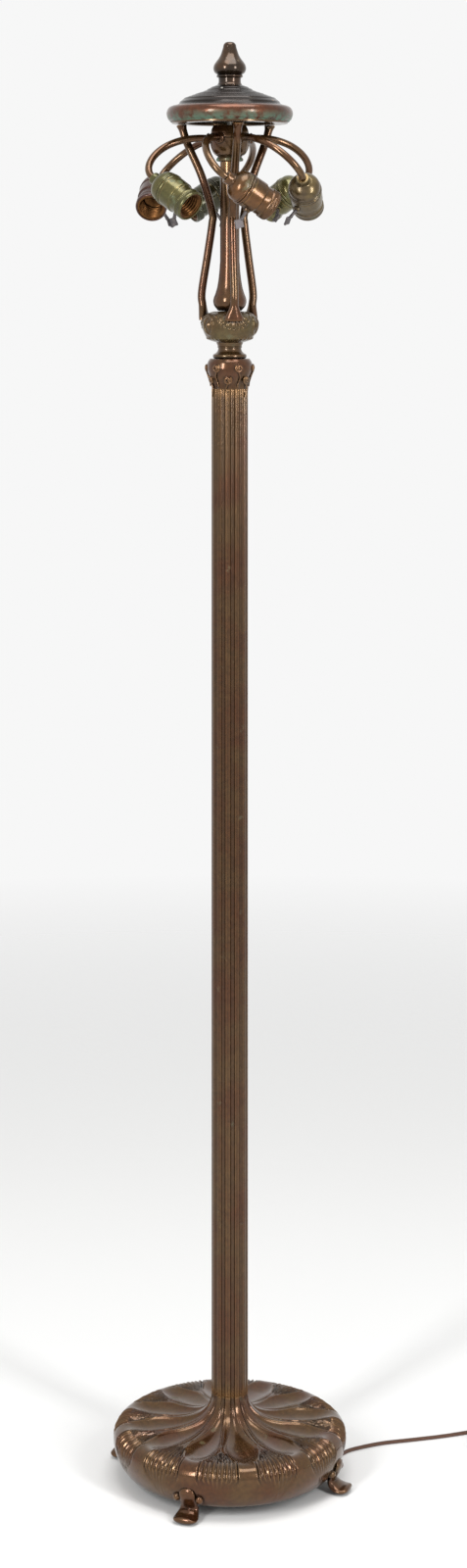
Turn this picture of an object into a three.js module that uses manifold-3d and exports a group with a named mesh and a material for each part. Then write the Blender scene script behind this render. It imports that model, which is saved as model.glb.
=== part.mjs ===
// Floor lamp base of patinated bronze: a petalled foot on four feet, a fluted column, a harp of
// three rods round a turned stem, six swirled arms with keyed lamp sockets, a heat cap and a finial.
// Millimetres, +Z up. The origin is on the floor, on the column's axis. Foot 1 points along +X.

import * as THREE from 'three';
import { mergeVertices } from 'three/addons/utils/BufferGeometryUtils.js';
import Module from 'manifold-3d';

const wasm = await Module();
wasm.setup();

const TAU = Math.PI * 2;
const degrees = (angle) => angle * TAU / 360;

// Clearances between pieces that touch
const GAP = 0.3;

// Cast foot
const SECTORS = 12;
const BASE_HEIGHT = 102;
const BASE_RADIUS = 143;
const WIDEST_HEIGHT = 50;
const CREST_RADIUS = 122;
const CREST_HEIGHT = 67;
const DISH_RADIUS = 76;
const DISH_HEIGHT = 67.3;
const SKIRT_RADIUS = 130.5;
const SKIRT_HEIGHT = 16.6;
const BASE_WALL = 4;
const UNDERSIDE_HEIGHT = 55;
const PETAL_DEPTH = 6;
const PETAL_DEEPEST_RADIUS = 100;
const PETAL_SPREAD = 12.5;
const FAN_START_RADIUS = 83;
const PETAL_TIP_RADIUS = 138;
const PETAL_TIP_SPREAD = 4.5;
const FAN_RIBS = 4;
const FAN_RIB_DEPTH = 1.3;
const FAN_RIB_END_HEIGHT = 26;

// Feet under the rim
const FOOT_COUNT = 4;
const FOOT_REACH = 156;
const FOOT_HALF_WIDTH = 15.5;
const ANKLE_HALF_WIDTH = 10.5;
const FOOT_TOP_HEIGHT = 39;
const FOOT_BALL_RADIUS = 5;

// Weight and its fixing
const WEIGHT_RADIUS = 118;
const WEIGHT_BOTTOM = 24;
const WEIGHT_RECESS_RADIUS = 28;
const WEIGHT_WEB = 11;
const WASHER_RADIUS = 17;
const WASHER_THICKNESS = 2.7;
const NUT_RADIUS = 13;
const NUT_THICKNESS = 7;
const PIPE_RADIUS = 6.5;
const PIPE_BORE = 4.7;
const PIPE_TAIL = 2;

// Fluted column
const COLUMN_RADIUS = 22.2;
const COLUMN_BORE_RADIUS = 17.5;
const COLUMN_LENGTH = 1231.4;
const FLUTE_DEPTH = 1.7;
const FLUTE_SPREAD = 7.5;

// Capital, collar and pod
const CAPITAL_HEIGHT = 36.6;
const CAPITAL_RADIUS = 28;
const SCROLL_RADIUS = 6.2;
const SCROLL_RISE = 1.1;
const COLLAR_HEIGHT = 19.4;
const COLLAR_BEAD_RADIUS = 20.6;
const COLLAR_NECK_RADIUS = 14.2;
const POD_HEIGHT = 38.6;
const POD_RADIUS = 34.4;
const POD_FAN_RISE = 1.5;
const POD_FAN_SPREAD = 27;

// Turned stem and the hub that gathers the arms
const STEM_HEIGHT = 182.8;
const STEM_RADIUS = 11.8;
const STEM_BULB_RADIUS = 20.4;
const HUB_COLLAR_HEIGHT = 5.8;
const HUB_COLLAR_RADIUS = 16.5;
const HUB_RADIUS = 24.6;
const HUB_LOWER_HEIGHT = 23;
const HUB_UPPER_HEIGHT = 15;
const HUB_TOP_RADIUS = 20;

// Harp rods and the ring that carries the shade
const ROD_COUNT = 3;
const ROD_START_ANGLE = 60;
const ROD_RADIUS = 5;
const ROD_FLARE_RADIUS = 7.4;
const ROD_TOP_REACH = 64;
const ROD_WAIST_REACH = 23.2;
const ROD_BELLY_REACH = 36.8;
const ROD_FOOT_REACH = 33.5;
const ROD_LAP = 11;
const RING_ABOVE_HUB = 2;
const RING_OUTER_RADIUS = 71.5;
const RING_INNER_RADIUS = 54;
const RING_THICKNESS = 3;

// Arms
const ARM_COUNT = 6;
const ARM_START_ANGLE = 21;
const ARM_RADIUS = 4.5;
const ARM_REACH = 104;
const ARM_SWING = 27.7;
const ARM_DROP = 50;
const ARM_OUT_PULL = 60;
const ARM_IN_PULL = 26;
const ARM_STRAIGHT_END = 11;
const ARM_HUB_DROP = 0.7;

// Sockets: a cap, a shell, an insulated screw shell and a turn key each
const SOCKET_TURN = 113.4;
const SOCKET_DIP = 31;
const SOCKET_ROLLS = [47, 66, 65, 66, 90, 59];
const SOCKET_NECK_LENGTH = 9;
const SOCKET_NECK_RADIUS = 7.6;
const SOCKET_CAP_LENGTH = 27;
const SOCKET_CAP_RADIUS = 19.8;
const SOCKET_LENGTH = 69;
const SOCKET_RADIUS = 20;
const SOCKET_WAIST_RADIUS = 18.2;
const SOCKET_MOUTH_RADIUS = 19.4;
const SOCKET_WALL = 1.3;
const LAMP_BORE_RADIUS = 13.9;
const LAMP_BORE_DEPTH = 26;
const LINER_RECESS = 1.5;
const KEY_PLACE = 43;
const KEY_SHAFT_RADIUS = 2;
const KEY_BOSS_RADIUS = 4.2;
const KEY_BOSS_HEIGHT = 2.6;
const KEY_SHAFT_OUT = 14;
const KEY_BLADE_LENGTH = 17;
const KEY_BLADE_WIDTH = 16;
const KEY_BLADE_THICKNESS = 2.4;

// Heat cap and finial on their rod
const CAP_RADIUS = 77.8;
const CAP_HEIGHT = 44;
const CAP_LIP_DROP = 1.2;
const CAP_LIP_CLEARANCE = 0.5;
const CAP_STEP_RADIUS = 62.8;
const CAP_WALL = 2;
const CAP_RIDGES = 4;
const CAP_RIDGE_RISE = 1.1;
const CAP_CROWN_RADIUS = 16.5;
const FINIAL_HEIGHT = 53.1;
const FINIAL_RADIUS = 20.2;
const FINIAL_NECK_RADIUS = 13.8;
const FINIAL_FOOT_RADIUS = 15.2;
const FINIAL_ROD_RADIUS = 3.2;
const FINIAL_ROD_GRIP = 12;
const FINIAL_ROD_REACH = 15;

// Cord, its coil and its plug
const CORD_RADIUS = 2.25;
const CORD_FLOOR_CLEARANCE = 0.05;
const BUSHING_LENGTH = 7;
const BUSHING_FLANGE_RADIUS = 8.5;
const COIL_TURNS = 8.5;
const COIL_LAYERS = 4;
const COIL_PITCH = 5;
const COIL_MEAN_RADIUS = 27;
const COIL_STEPS = 24;
const COIL_SIDES = 6;
const COIL_TAIL = 26;
const PLUG_RADIUS = 17.1;
const PLUG_LENGTH = 36;
const PLUG_BLADE_LENGTH = 16;
const PLUG_BLADE_SPACING = 12.7;

// Heights of the stack, each seated on the piece below it
const columnFoot = BASE_HEIGHT + GAP;
const columnTop = columnFoot + COLUMN_LENGTH;
const capitalFoot = columnTop + GAP;
const capitalTop = capitalFoot + CAPITAL_HEIGHT;
const collarFoot = capitalTop + GAP;
const collarTop = collarFoot + COLLAR_HEIGHT;
const podFoot = collarTop + GAP;
const podTop = podFoot + POD_HEIGHT;
const stemFoot = podTop + GAP;
const stemTop = stemFoot + STEM_HEIGHT;
const hubCollarFoot = stemTop + GAP;
const hubCollarTop = hubCollarFoot + HUB_COLLAR_HEIGHT;
const hubLowerFoot = hubCollarTop + GAP;
const hubLowerTop = hubLowerFoot + HUB_LOWER_HEIGHT;
const hubUpperFoot = hubLowerTop + GAP;
const hubUpperTop = hubUpperFoot + HUB_UPPER_HEIGHT;
const ringFoot = hubUpperTop + RING_ABOVE_HUB + GAP;
const ringTop = ringFoot + RING_THICKNESS;
const capSeat = ringTop + GAP;
const capTop = capSeat + CAP_HEIGHT;
const finialFoot = capTop + GAP;
const rodHoleRadius = PIPE_RADIUS + GAP;
const weightTop = UNDERSIDE_HEIGHT - GAP;
const washerTop = weightTop - WEIGHT_WEB - GAP;
const nutTop = washerTop - WASHER_THICKNESS - GAP;
const pipeFoot = nutTop - NUT_THICKNESS - PIPE_TAIL;
const pipeTop = hubLowerTop - 6;

// One material for each finish
const finish = (color, roughness, metalness) =>
  new THREE.MeshStandardMaterial({ color, roughness, metalness });
const bronze = () => finish(0x7a5234, 0.42, 0.85);
const brownBronze = () => finish(0x6b4630, 0.45, 0.85);
const greenBronze = () => finish(0x7c7a4a, 0.5, 0.7);
const darkBronze = () => finish(0x3f2d22, 0.5, 0.8);
const castIron = () => finish(0x3c3a38, 0.8, 0.6);
const steel = () => finish(0x8a8782, 0.45, 0.9);
const socketBrass = () => finish(0x8c6a3a, 0.42, 0.85);
const threadBrass = () => finish(0xc08a4a, 0.3, 0.95);
const keyGrey = () => finish(0x4d4a4c, 0.55, 0.5);
const brownCloth = () => finish(0x5a3c28, 0.9, 0.0);
const brownPlastic = () => finish(0x3a241a, 0.5, 0.0);

const lamp = new THREE.Group();

// Position-only geometry with shared vertices, no collapsed triangles and its faces outward
function welded(geometry) {
  const bare = new THREE.BufferGeometry();
  bare.setAttribute('position', geometry.getAttribute('position').clone());
  if (geometry.index) bare.setIndex(geometry.index.clone());
  const merged = mergeVertices(bare, 1e-4);
  const corners = merged.index.array;
  const position = merged.getAttribute('position');
  const kept = [];
  let volume = 0;
  const a = new THREE.Vector3();
  const b = new THREE.Vector3();
  const c = new THREE.Vector3();
  for (let i = 0; i < corners.length; i += 3) {
    const [u, v, w] = [corners[i], corners[i + 1], corners[i + 2]];
    if (u === v || v === w || w === u) continue;
    kept.push(u, v, w);
    a.fromBufferAttribute(position, u);
    b.fromBufferAttribute(position, v);
    c.fromBufferAttribute(position, w);
    volume += a.dot(b.cross(c));
  }
  if (volume < 0) kept.reverse();
  merged.setIndex(kept);
  return merged;
}

function add(name, geometry, material, parent = lamp) {
  const mesh = new THREE.Mesh(welded(geometry), material);
  mesh.name = name;
  parent.add(mesh);
  return mesh;
}

function toSolid(geometry) {
  const closed = welded(geometry);
  return new wasm.Manifold(new wasm.Mesh({
    numProp: 3,
    vertProperties: new Float32Array(closed.getAttribute('position').array),
    triVerts: new Uint32Array(closed.index.array),
  }));
}

function fromSolid(solid) {
  const mesh = solid.getMesh();
  const geometry = new THREE.BufferGeometry();
  geometry.setAttribute('position', new THREE.BufferAttribute(mesh.vertProperties, 3));
  geometry.setIndex(new THREE.BufferAttribute(mesh.triVerts, 1));
  return geometry;
}

// Solid of revolution about Z from [radius, height] points; a profile off the axis is closed
function turned(profile, segments) {
  const points = profile.map(([radius, height]) => new THREE.Vector2(radius, height));
  const onAxis = points[0].x < 1e-6 && points[points.length - 1].x < 1e-6;
  if (!onAxis) points.push(points[0].clone());
  return new THREE.LatheGeometry(points, segments).rotateX(TAU / 4);
}

// Closed skin over a row of rings. A ring is { points, at }: at grows from 0 to 1 round the ring.
function skin(rings, joinEnds) {
  const positions = [];
  const triangles = [];
  const starts = rings.map((ring) => {
    const start = positions.length / 3;
    ring.points.forEach((p) => positions.push(p.x, p.y, p.z));
    return start;
  });
  const band = (m, n) => {
    const low = rings[m];
    const high = rings[n];
    const lowCount = low.points.length;
    const highCount = high.points.length;
    let i = 0;
    let j = 0;
    while (i < lowCount || j < highCount) {
      const nextLow = i + 1 < lowCount ? low.at[i + 1] : 1;
      const nextHigh = j + 1 < highCount ? high.at[j + 1] : 1;
      const here = starts[m] + i % lowCount;
      const above = starts[n] + j % highCount;
      if (i < lowCount && (j === highCount || nextLow <= nextHigh + 1e-9)) {
        i += 1;
        triangles.push(here, starts[m] + i % lowCount, above);
      } else {
        j += 1;
        triangles.push(here, starts[n] + j % highCount, above);
      }
    }
  };
  for (let m = 0; m + 1 < rings.length; m += 1) band(m, m + 1);
  if (joinEnds) {
    band(rings.length - 1, 0);
  } else {
    for (const m of [0, rings.length - 1]) {
      const { points } = rings[m];
      const middle = new THREE.Vector3();
      points.forEach((p) => middle.addScaledVector(p, 1 / points.length));
      const hub = positions.length / 3;
      positions.push(middle.x, middle.y, middle.z);
      for (let i = 0; i < points.length; i += 1) {
        const here = starts[m] + i;
        const next = starts[m] + (i + 1) % points.length;
        if (m === 0) triangles.push(here, hub, next);
        else triangles.push(here, next, hub);
      }
    }
  }
  const geometry = new THREE.BufferGeometry();
  geometry.setAttribute('position', new THREE.Float32BufferAttribute(positions, 3));
  geometry.setIndex(triangles);
  return geometry;
}

const evenRing = (points) => ({ points, at: points.map((p, i) => i / points.length) });

const circle = (radius, height, count) => evenRing(Array.from({ length: count }, (v, i) => {
  const angle = TAU * i / count;
  return new THREE.Vector3(radius * Math.cos(angle), radius * Math.sin(angle), height);
}));

// Tube of changing radius along a curve, with frames carried along so that it never twists
function sweptTube(curve, radiusAt, steps, sides) {
  const rings = [];
  const tangent = curve.getTangentAt(0);
  const side = Math.abs(tangent.z) < 0.9 ? new THREE.Vector3(0, 0, 1) : new THREE.Vector3(1, 0, 0);
  for (let i = 0; i <= steps; i += 1) {
    const along = i / steps;
    tangent.copy(curve.getTangentAt(along));
    side.addScaledVector(tangent, -side.dot(tangent)).normalize();
    const up = new THREE.Vector3().crossVectors(tangent, side);
    const centre = curve.getPointAt(along);
    rings.push(evenRing(Array.from({ length: sides }, (v, k) => {
      const angle = TAU * k / sides;
      return centre.clone()
        .addScaledVector(side, radiusAt(along) * Math.cos(angle))
        .addScaledVector(up, radiusAt(along) * Math.sin(angle));
    })));
  }
  return skin(rings, false);
}

const roundSection = (radius, sides) => new THREE.Shape(Array.from({ length: sides }, (v, i) => {
  const angle = TAU * (i + 0.5) / sides;
  return new THREE.Vector2(radius * Math.cos(angle), radius * Math.sin(angle));
}));

const tubeAlong = (path, radius, sides, steps) => new THREE.ExtrudeGeometry(
  roundSection(radius, sides), { steps, extrudePath: path, bevelEnabled: false });

const smooth = (t) => {
  const x = Math.min(1, Math.max(0, t));
  return x * x * (3 - 2 * x);
};

const mix = THREE.MathUtils.lerp;

// Outline of the cast foot from the column's seat out to the rim and down to the skirt's edge
const flare = new THREE.CubicBezierCurve(
  new THREE.Vector2(COLUMN_RADIUS, BASE_HEIGHT),
  new THREE.Vector2(COLUMN_RADIUS, mix(DISH_HEIGHT, BASE_HEIGHT, 0.3)),
  new THREE.Vector2(mix(COLUMN_RADIUS, DISH_RADIUS, 0.42), DISH_HEIGHT),
  new THREE.Vector2(DISH_RADIUS, DISH_HEIGHT));
const dish = new THREE.LineCurve(
  new THREE.Vector2(DISH_RADIUS, DISH_HEIGHT), new THREE.Vector2(CREST_RADIUS, CREST_HEIGHT));
const shoulder = new THREE.EllipseCurve(CREST_RADIUS, WIDEST_HEIGHT,
  BASE_RADIUS - CREST_RADIUS, CREST_HEIGHT - WIDEST_HEIGHT, TAU / 4, 0, true);
const skirt = new THREE.QuadraticBezierCurve(
  new THREE.Vector2(BASE_RADIUS, WIDEST_HEIGHT),
  new THREE.Vector2(BASE_RADIUS, mix(SKIRT_HEIGHT, WIDEST_HEIGHT, 0.4)),
  new THREE.Vector2(SKIRT_RADIUS, SKIRT_HEIGHT));

const SKIRT_STATIONS = [0, 0.5, 1];

function outlineStations() {
  const stations = [];
  const take = (curve, steps) => steps.forEach((t) => {
    const place = curve.getPoint(t);
    const along = curve.getTangent(t);
    const reach = curve === skirt ? BASE_RADIUS : place.x;
    stations.push({ radius: place.x, height: place.y, normal: [-along.y, along.x], reach });
  });
  take(flare, [0, 0.2, 0.36, 0.52, 0.7, 0.86]);
  take(dish, [0, 0.34, 0.7]);
  take(shoulder, [0, 0.28, 0.52, 0.76]);
  take(skirt, SKIRT_STATIONS);
  return stations;
}

// Half the angle that a petal's hollow takes at a radius, in degrees
function petalSpread(radius) {
  if (radius < FAN_START_RADIUS) {
    return mix(FLUTE_SPREAD, PETAL_SPREAD,
      smooth((radius - COLUMN_RADIUS) / (FAN_START_RADIUS - COLUMN_RADIUS)));
  }
  return mix(PETAL_SPREAD, PETAL_TIP_SPREAD,
    smooth((radius - FAN_START_RADIUS) / (PETAL_TIP_RADIUS - FAN_START_RADIUS)));
}

function petalDepth(radius) {
  const grown = mix(FLUTE_DEPTH, PETAL_DEPTH,
    smooth((radius - COLUMN_RADIUS) / (PETAL_DEEPEST_RADIUS - COLUMN_RADIUS)));
  return grown * (1 - smooth((radius - PETAL_DEEPEST_RADIUS)
    / (PETAL_TIP_RADIUS - PETAL_DEEPEST_RADIUS)));
}

function fanRibDepth(station) {
  const begins = smooth((station.reach - FAN_START_RADIUS) / (CREST_RADIUS - FAN_START_RADIUS));
  const ends = smooth((station.height - FAN_RIB_END_HEIGHT) / (WIDEST_HEIGHT - FAN_RIB_END_HEIGHT));
  return FAN_RIB_DEPTH * begins * ends;
}

// A ring round the foot or the column: hollows at the sector centres and ribbed lands between them
function petalRing(station, spread, depth, ribDepth, hollowSteps, landSteps) {
  const points = [];
  const at = [];
  const half = 180 / SECTORS;
  const place = (angle, sink) => {
    const radius = station.radius - sink * station.normal[0];
    const height = station.height - sink * station.normal[1];
    const turn = degrees(angle);
    points.push(new THREE.Vector3(radius * Math.cos(turn), radius * Math.sin(turn), height));
  };
  for (let sector = 0; sector < SECTORS; sector += 1) {
    for (let i = 0; i < hollowSteps; i += 1) {
      const s = 2 * i / hollowSteps - 1;
      place(sector * 2 * half + s * spread, depth * (1 - s * s));
      at.push((sector + 0.5 * i / hollowSteps) / SECTORS);
    }
    for (let i = 0; i < landSteps; i += 1) {
      const s = 2 * i / landSteps - 1;
      place((sector * 2 + 1) * half + s * (half - spread), i % 2 === 1 ? ribDepth : 0);
      at.push((sector + 0.5 + 0.5 * i / landSteps) / SECTORS);
    }
  }
  return { points, at };
}

function castFoot() {
  const rings = outlineStations().map((station) => {
    const fanned = station.radius > FAN_START_RADIUS;
    return petalRing(station, petalSpread(station.reach), petalDepth(station.reach),
      fanRibDepth(station), 4, fanned ? 2 * FAN_RIBS : 2);
  });
  const segments = 24;
  const hollow = [
    [SKIRT_RADIUS - BASE_WALL, SKIRT_HEIGHT],
    [mix(SKIRT_RADIUS, BASE_RADIUS, 0.5) - BASE_WALL, mix(SKIRT_HEIGHT, WIDEST_HEIGHT, 0.38)],
    [BASE_RADIUS - BASE_WALL * 1.4, mix(SKIRT_HEIGHT, WIDEST_HEIGHT, 0.8)],
    [CREST_RADIUS, UNDERSIDE_HEIGHT],
    [rodHoleRadius, UNDERSIDE_HEIGHT],
    [rodHoleRadius, BASE_HEIGHT],
  ];
  hollow.forEach(([radius, height]) => {
    const flat = circle(radius, height, segments);
    const shift = degrees(petalSpread(BASE_RADIUS));
    flat.points.forEach((p) => p.applyAxisAngle(new THREE.Vector3(0, 0, 1), -shift));
    rings.push(flat);
  });
  return skin(rings, true);
}

// Solid that the skirt's outside fills, grown by the seating gap, for cutting the feet to it
function skirtBody() {
  const outline = [[BASE_RADIUS + GAP, CREST_HEIGHT], [0, CREST_HEIGHT], [0, SKIRT_HEIGHT - GAP],
    [SKIRT_RADIUS + GAP, SKIRT_HEIGHT - GAP]];
  for (const t of SKIRT_STATIONS.toReversed()) {
    const place = skirt.getPoint(t);
    outline.push([place.x + GAP, place.y]);
  }
  return toSolid(turned(outline.slice(2).concat([outline[0], outline[1]]), SECTORS * 8));
}

// Slipper foot: a tab up the skirt, a narrow ankle and a toe that turns up, flat on the floor
function slipperFoot() {
  const stations = [
    { x: SKIRT_RADIUS + 11, z: FOOT_TOP_HEIGHT, thick: 1.6, wide: ANKLE_HALF_WIDTH * 0.5 },
    { x: SKIRT_RADIUS + 11.5, z: FOOT_TOP_HEIGHT - 4.5, thick: 3, wide: ANKLE_HALF_WIDTH * 0.92 },
    { x: SKIRT_RADIUS + 7.5, z: SKIRT_HEIGHT + 10, thick: 4.2, wide: ANKLE_HALF_WIDTH },
    { x: SKIRT_RADIUS + 2.5, z: SKIRT_HEIGHT + 1.5, thick: 5.2, wide: ANKLE_HALF_WIDTH },
    { x: SKIRT_RADIUS + 2.5, z: 11, thick: 6.5, wide: ANKLE_HALF_WIDTH * 1.1 },
    { x: mix(SKIRT_RADIUS, FOOT_REACH, 0.3), z: 6.6, thick: 8.2, wide: FOOT_HALF_WIDTH * 0.86 },
    { x: mix(SKIRT_RADIUS, FOOT_REACH, 0.62), z: 4.6, thick: 5.4, wide: FOOT_HALF_WIDTH },
    { x: FOOT_REACH - 3.5, z: 4.6, thick: 5.4, wide: FOOT_HALF_WIDTH * 0.9 },
    { x: FOOT_REACH, z: 6.8, thick: 2.4, wide: FOOT_HALF_WIDTH * 0.6 },
  ];
  const sides = 8;
  const rings = stations.map((station, i) => {
    const before = stations[Math.max(0, i - 1)];
    const after = stations[Math.min(stations.length - 1, i + 1)];
    const along = new THREE.Vector2(after.x - before.x, after.z - before.z).normalize();
    return evenRing(Array.from({ length: sides }, (v, k) => {
      const angle = TAU * (k + 0.5) / sides;
      const out = station.thick * Math.sin(angle);
      const x = Math.min(FOOT_REACH, station.x - along.y * out);
      return new THREE.Vector3(x, station.wide * Math.cos(angle), Math.max(0, station.z + along.x * out));
    }));
  });
  let foot = toSolid(skin(rings, false));
  for (const side of [-1, 1]) {
    const ball = new THREE.SphereGeometry(FOOT_BALL_RADIUS, 6, 5);
    ball.translate(SKIRT_RADIUS + 5.5, side * (ANKLE_HALF_WIDTH + FOOT_BALL_RADIUS * 0.75),
      SKIRT_HEIGHT + 9.5);
    foot = foot.add(toSolid(ball));
  }
  return fromSolid(foot.subtract(skirtBody()));
}

function flutedColumn() {
  const wall = (height) => {
    const station = { radius: COLUMN_RADIUS, height, normal: [1, 0] };
    return petalRing(station, FLUTE_SPREAD, FLUTE_DEPTH, 0, 4, 2);
  };
  return skin([
    wall(columnFoot),
    wall(columnTop),
    circle(COLUMN_BORE_RADIUS, columnTop, 2 * SECTORS),
    circle(COLUMN_BORE_RADIUS, columnFoot, 2 * SECTORS),
  ], true);
}

// Capital: the column's ribs run up into two rows of scrolls that bulge out of a rounded block
function scrolledCapital() {
  const outline = new THREE.SplineCurve([
    [COLUMN_RADIUS, 0], [COLUMN_RADIUS + 0.9, 0.2], [mix(COLUMN_RADIUS, CAPITAL_RADIUS, 0.55), 0.4],
    [CAPITAL_RADIUS - 0.6, 0.58], [CAPITAL_RADIUS, 0.7], [CAPITAL_RADIUS - 0.9, 0.88],
    [CAPITAL_RADIUS - 3.6, 1],
  ].map(([radius, share]) => new THREE.Vector2(radius, share * CAPITAL_HEIGHT)));
  const count = SECTORS * 4;
  const steps = 9;
  const rings = [];
  for (let i = 0; i <= steps; i += 1) {
    const place = outline.getPoint(i / steps);
    rings.push(evenRing(Array.from({ length: count }, (v, k) => {
      const turn = 360 * k / count;
      let radius = place.x;
      const groove = 0.5 + 0.5 * Math.cos(degrees(turn * SECTORS));
      radius -= FLUTE_DEPTH * groove * (1 - smooth(place.y / (CAPITAL_HEIGHT * 0.5)));
      for (let scroll = 0; scroll < SECTORS; scroll += 1) {
        const centre = 360 * (scroll + 0.5) / SECTORS;
        const height = CAPITAL_HEIGHT * (scroll % 2 === 0 ? 0.7 : 0.3);
        const apart = ((turn - centre + 540) % 360) - 180;
        const distance = Math.hypot(degrees(apart) * place.x, place.y - height);
        radius += SCROLL_RISE * smooth(2 - 2 * distance / SCROLL_RADIUS);
      }
      const angle = degrees(turn);
      return new THREE.Vector3(radius * Math.cos(angle), radius * Math.sin(angle),
        capitalFoot + place.y);
    })));
  }
  rings.push(circle(rodHoleRadius, capitalTop, SECTORS));
  rings.push(circle(rodHoleRadius, capitalFoot, SECTORS));
  return skin(rings, true);
}

// Pod: a rounded cup with a ribbed fan under each rod's foot
function fannedPod(grown) {
  const outline = new THREE.SplineCurve([
    [COLLAR_NECK_RADIUS + 2.4, 0], [mix(COLLAR_NECK_RADIUS, POD_RADIUS, 0.6), 0.09],
    [mix(COLLAR_NECK_RADIUS, POD_RADIUS, 0.81), 0.25], [POD_RADIUS - 0.9, 0.44],
    [POD_RADIUS, 0.62], [POD_RADIUS - 1.8, 0.77], [POD_RADIUS - 6.4, 0.9], [POD_RADIUS - 14.5, 0.985],
  ].map(([radius, share]) => new THREE.Vector2(radius, share * POD_HEIGHT)));
  const count = 36;
  const steps = 9;
  const rings = [];
  for (let i = 0; i <= steps; i += 1) {
    const place = outline.getPoint(i / steps);
    rings.push(evenRing(Array.from({ length: count }, (v, k) => {
      const turn = 360 * k / count;
      let radius = place.x + grown;
      for (let rod = 0; rod < ROD_COUNT; rod += 1) {
        const centre = ROD_START_ANGLE + 360 * rod / ROD_COUNT;
        const apart = ((turn - centre + 540) % 360) - 180;
        const spread = POD_FAN_SPREAD * mix(0.25, 1, smooth((POD_HEIGHT - place.y) / (POD_HEIGHT * 0.45)));
        const across = smooth(3 - 3 * Math.abs(apart) / spread);
        const down = smooth(place.y / (POD_HEIGHT * 0.45) - 0.55);
        radius += POD_FAN_RISE * across * down;
      }
      const angle = degrees(turn);
      return new THREE.Vector3(radius * Math.cos(angle), radius * Math.sin(angle),
        podFoot + place.y + (i === steps ? grown : 0));
    })));
  }
  rings.push(circle(rodHoleRadius - grown, podTop + grown, SECTORS));
  rings.push(circle(rodHoleRadius - grown, podFoot, SECTORS));
  return skin(rings, true);
}

// Harp rod: from a trumpet foot on the pod out to a belly, in to a waist and out to a flared pad
function harpRod() {
  const rodFoot = podTop - ROD_LAP;
  const rodTop = ringFoot - GAP;
  const span = rodTop - rodFoot;
  const path = new THREE.CatmullRomCurve3([
    [ROD_FOOT_REACH, 0], [ROD_BELLY_REACH - 0.9, 0.075], [ROD_BELLY_REACH, 0.145],
    [mix(ROD_WAIST_REACH, ROD_BELLY_REACH, 0.45), 0.33], [ROD_WAIST_REACH, 0.49],
    [ROD_WAIST_REACH, 0.55], [mix(ROD_WAIST_REACH, ROD_TOP_REACH, 0.34), 0.735],
    [mix(ROD_WAIST_REACH, ROD_TOP_REACH, 0.8), 0.9], [ROD_TOP_REACH, 1],
  ].map(([reach, share]) => new THREE.Vector3(reach, 0, rodFoot + share * span)));
  const radiusAt = (along) => {
    const top = smooth((along - 0.92) / 0.08);
    const foot = smooth((0.12 - along) / 0.1);
    return ROD_RADIUS + (ROD_FLARE_RADIUS - ROD_RADIUS) * (top + foot);
  };
  const overlong = sweptTube(path, radiusAt, 16, 8);
  const position = overlong.getAttribute('position');
  for (let i = 0; i < position.count; i += 1) position.setZ(i, Math.min(rodTop, position.getZ(i)));
  return overlong;
}

// Arm: leaves the hub level, swirls round and dips into its socket's neck
function armPath() {
  const start = new THREE.Vector3(HUB_RADIUS + GAP, 0, hubLowerTop - ARM_HUB_DROP);
  const swing = degrees(ARM_SWING);
  const neck = new THREE.Vector3(ARM_REACH * Math.cos(swing), ARM_REACH * Math.sin(swing),
    start.z - ARM_DROP);
  const heading = degrees(ARM_SWING + SOCKET_TURN);
  const dip = degrees(SOCKET_DIP);
  const aim = new THREE.Vector3(Math.cos(dip) * Math.cos(heading), Math.cos(dip) * Math.sin(heading),
    -Math.sin(dip));
  const end = neck.clone().addScaledVector(aim, SOCKET_NECK_LENGTH);
  const bend = end.clone().addScaledVector(aim, -ARM_STRAIGHT_END);
  const path = new THREE.CurvePath();
  path.add(new THREE.CubicBezierCurve3(
    start,
    new THREE.Vector3(start.x + ARM_OUT_PULL, 0, start.z + 5),
    bend.clone().addScaledVector(aim, -ARM_IN_PULL),
    bend));
  path.add(new THREE.LineCurve3(bend, end));
  return { path, end, aim };
}

// The socket's own frame: +Z out of its mouth, +X along its key
function socketFrame(end, aim, roll) {
  const level = new THREE.Vector3(-aim.y, aim.x, 0).normalize();
  const below = new THREE.Vector3().crossVectors(level, aim).normalize();
  if (below.z > 0) below.negate();
  const key = level.multiplyScalar(Math.cos(degrees(roll))).addScaledVector(below, Math.sin(degrees(roll)));
  const third = new THREE.Vector3().crossVectors(aim, key);
  const frame = new THREE.Matrix4().makeBasis(key, third, aim);
  return frame.setPosition(end.clone().addScaledVector(aim, -SOCKET_NECK_LENGTH));
}

function socketCap() {
  const bore = ARM_RADIUS + GAP;
  const crown = SOCKET_NECK_LENGTH + 1;
  return turned([
    [bore, 0], [SOCKET_NECK_RADIUS, 0], [SOCKET_NECK_RADIUS, crown - 2],
    [mix(SOCKET_NECK_RADIUS, SOCKET_CAP_RADIUS, 0.5), crown + 1.5],
    [SOCKET_CAP_RADIUS - 2.2, crown + 6], [SOCKET_CAP_RADIUS, crown + 12],
    [SOCKET_CAP_RADIUS, SOCKET_CAP_LENGTH],
    [SOCKET_CAP_RADIUS - SOCKET_WALL, SOCKET_CAP_LENGTH],
    [SOCKET_CAP_RADIUS - SOCKET_WALL, crown + 12],
    [mix(SOCKET_NECK_RADIUS, SOCKET_CAP_RADIUS, 0.5), crown + 3.5], [bore, crown + 2],
  ], 10);
}

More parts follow.
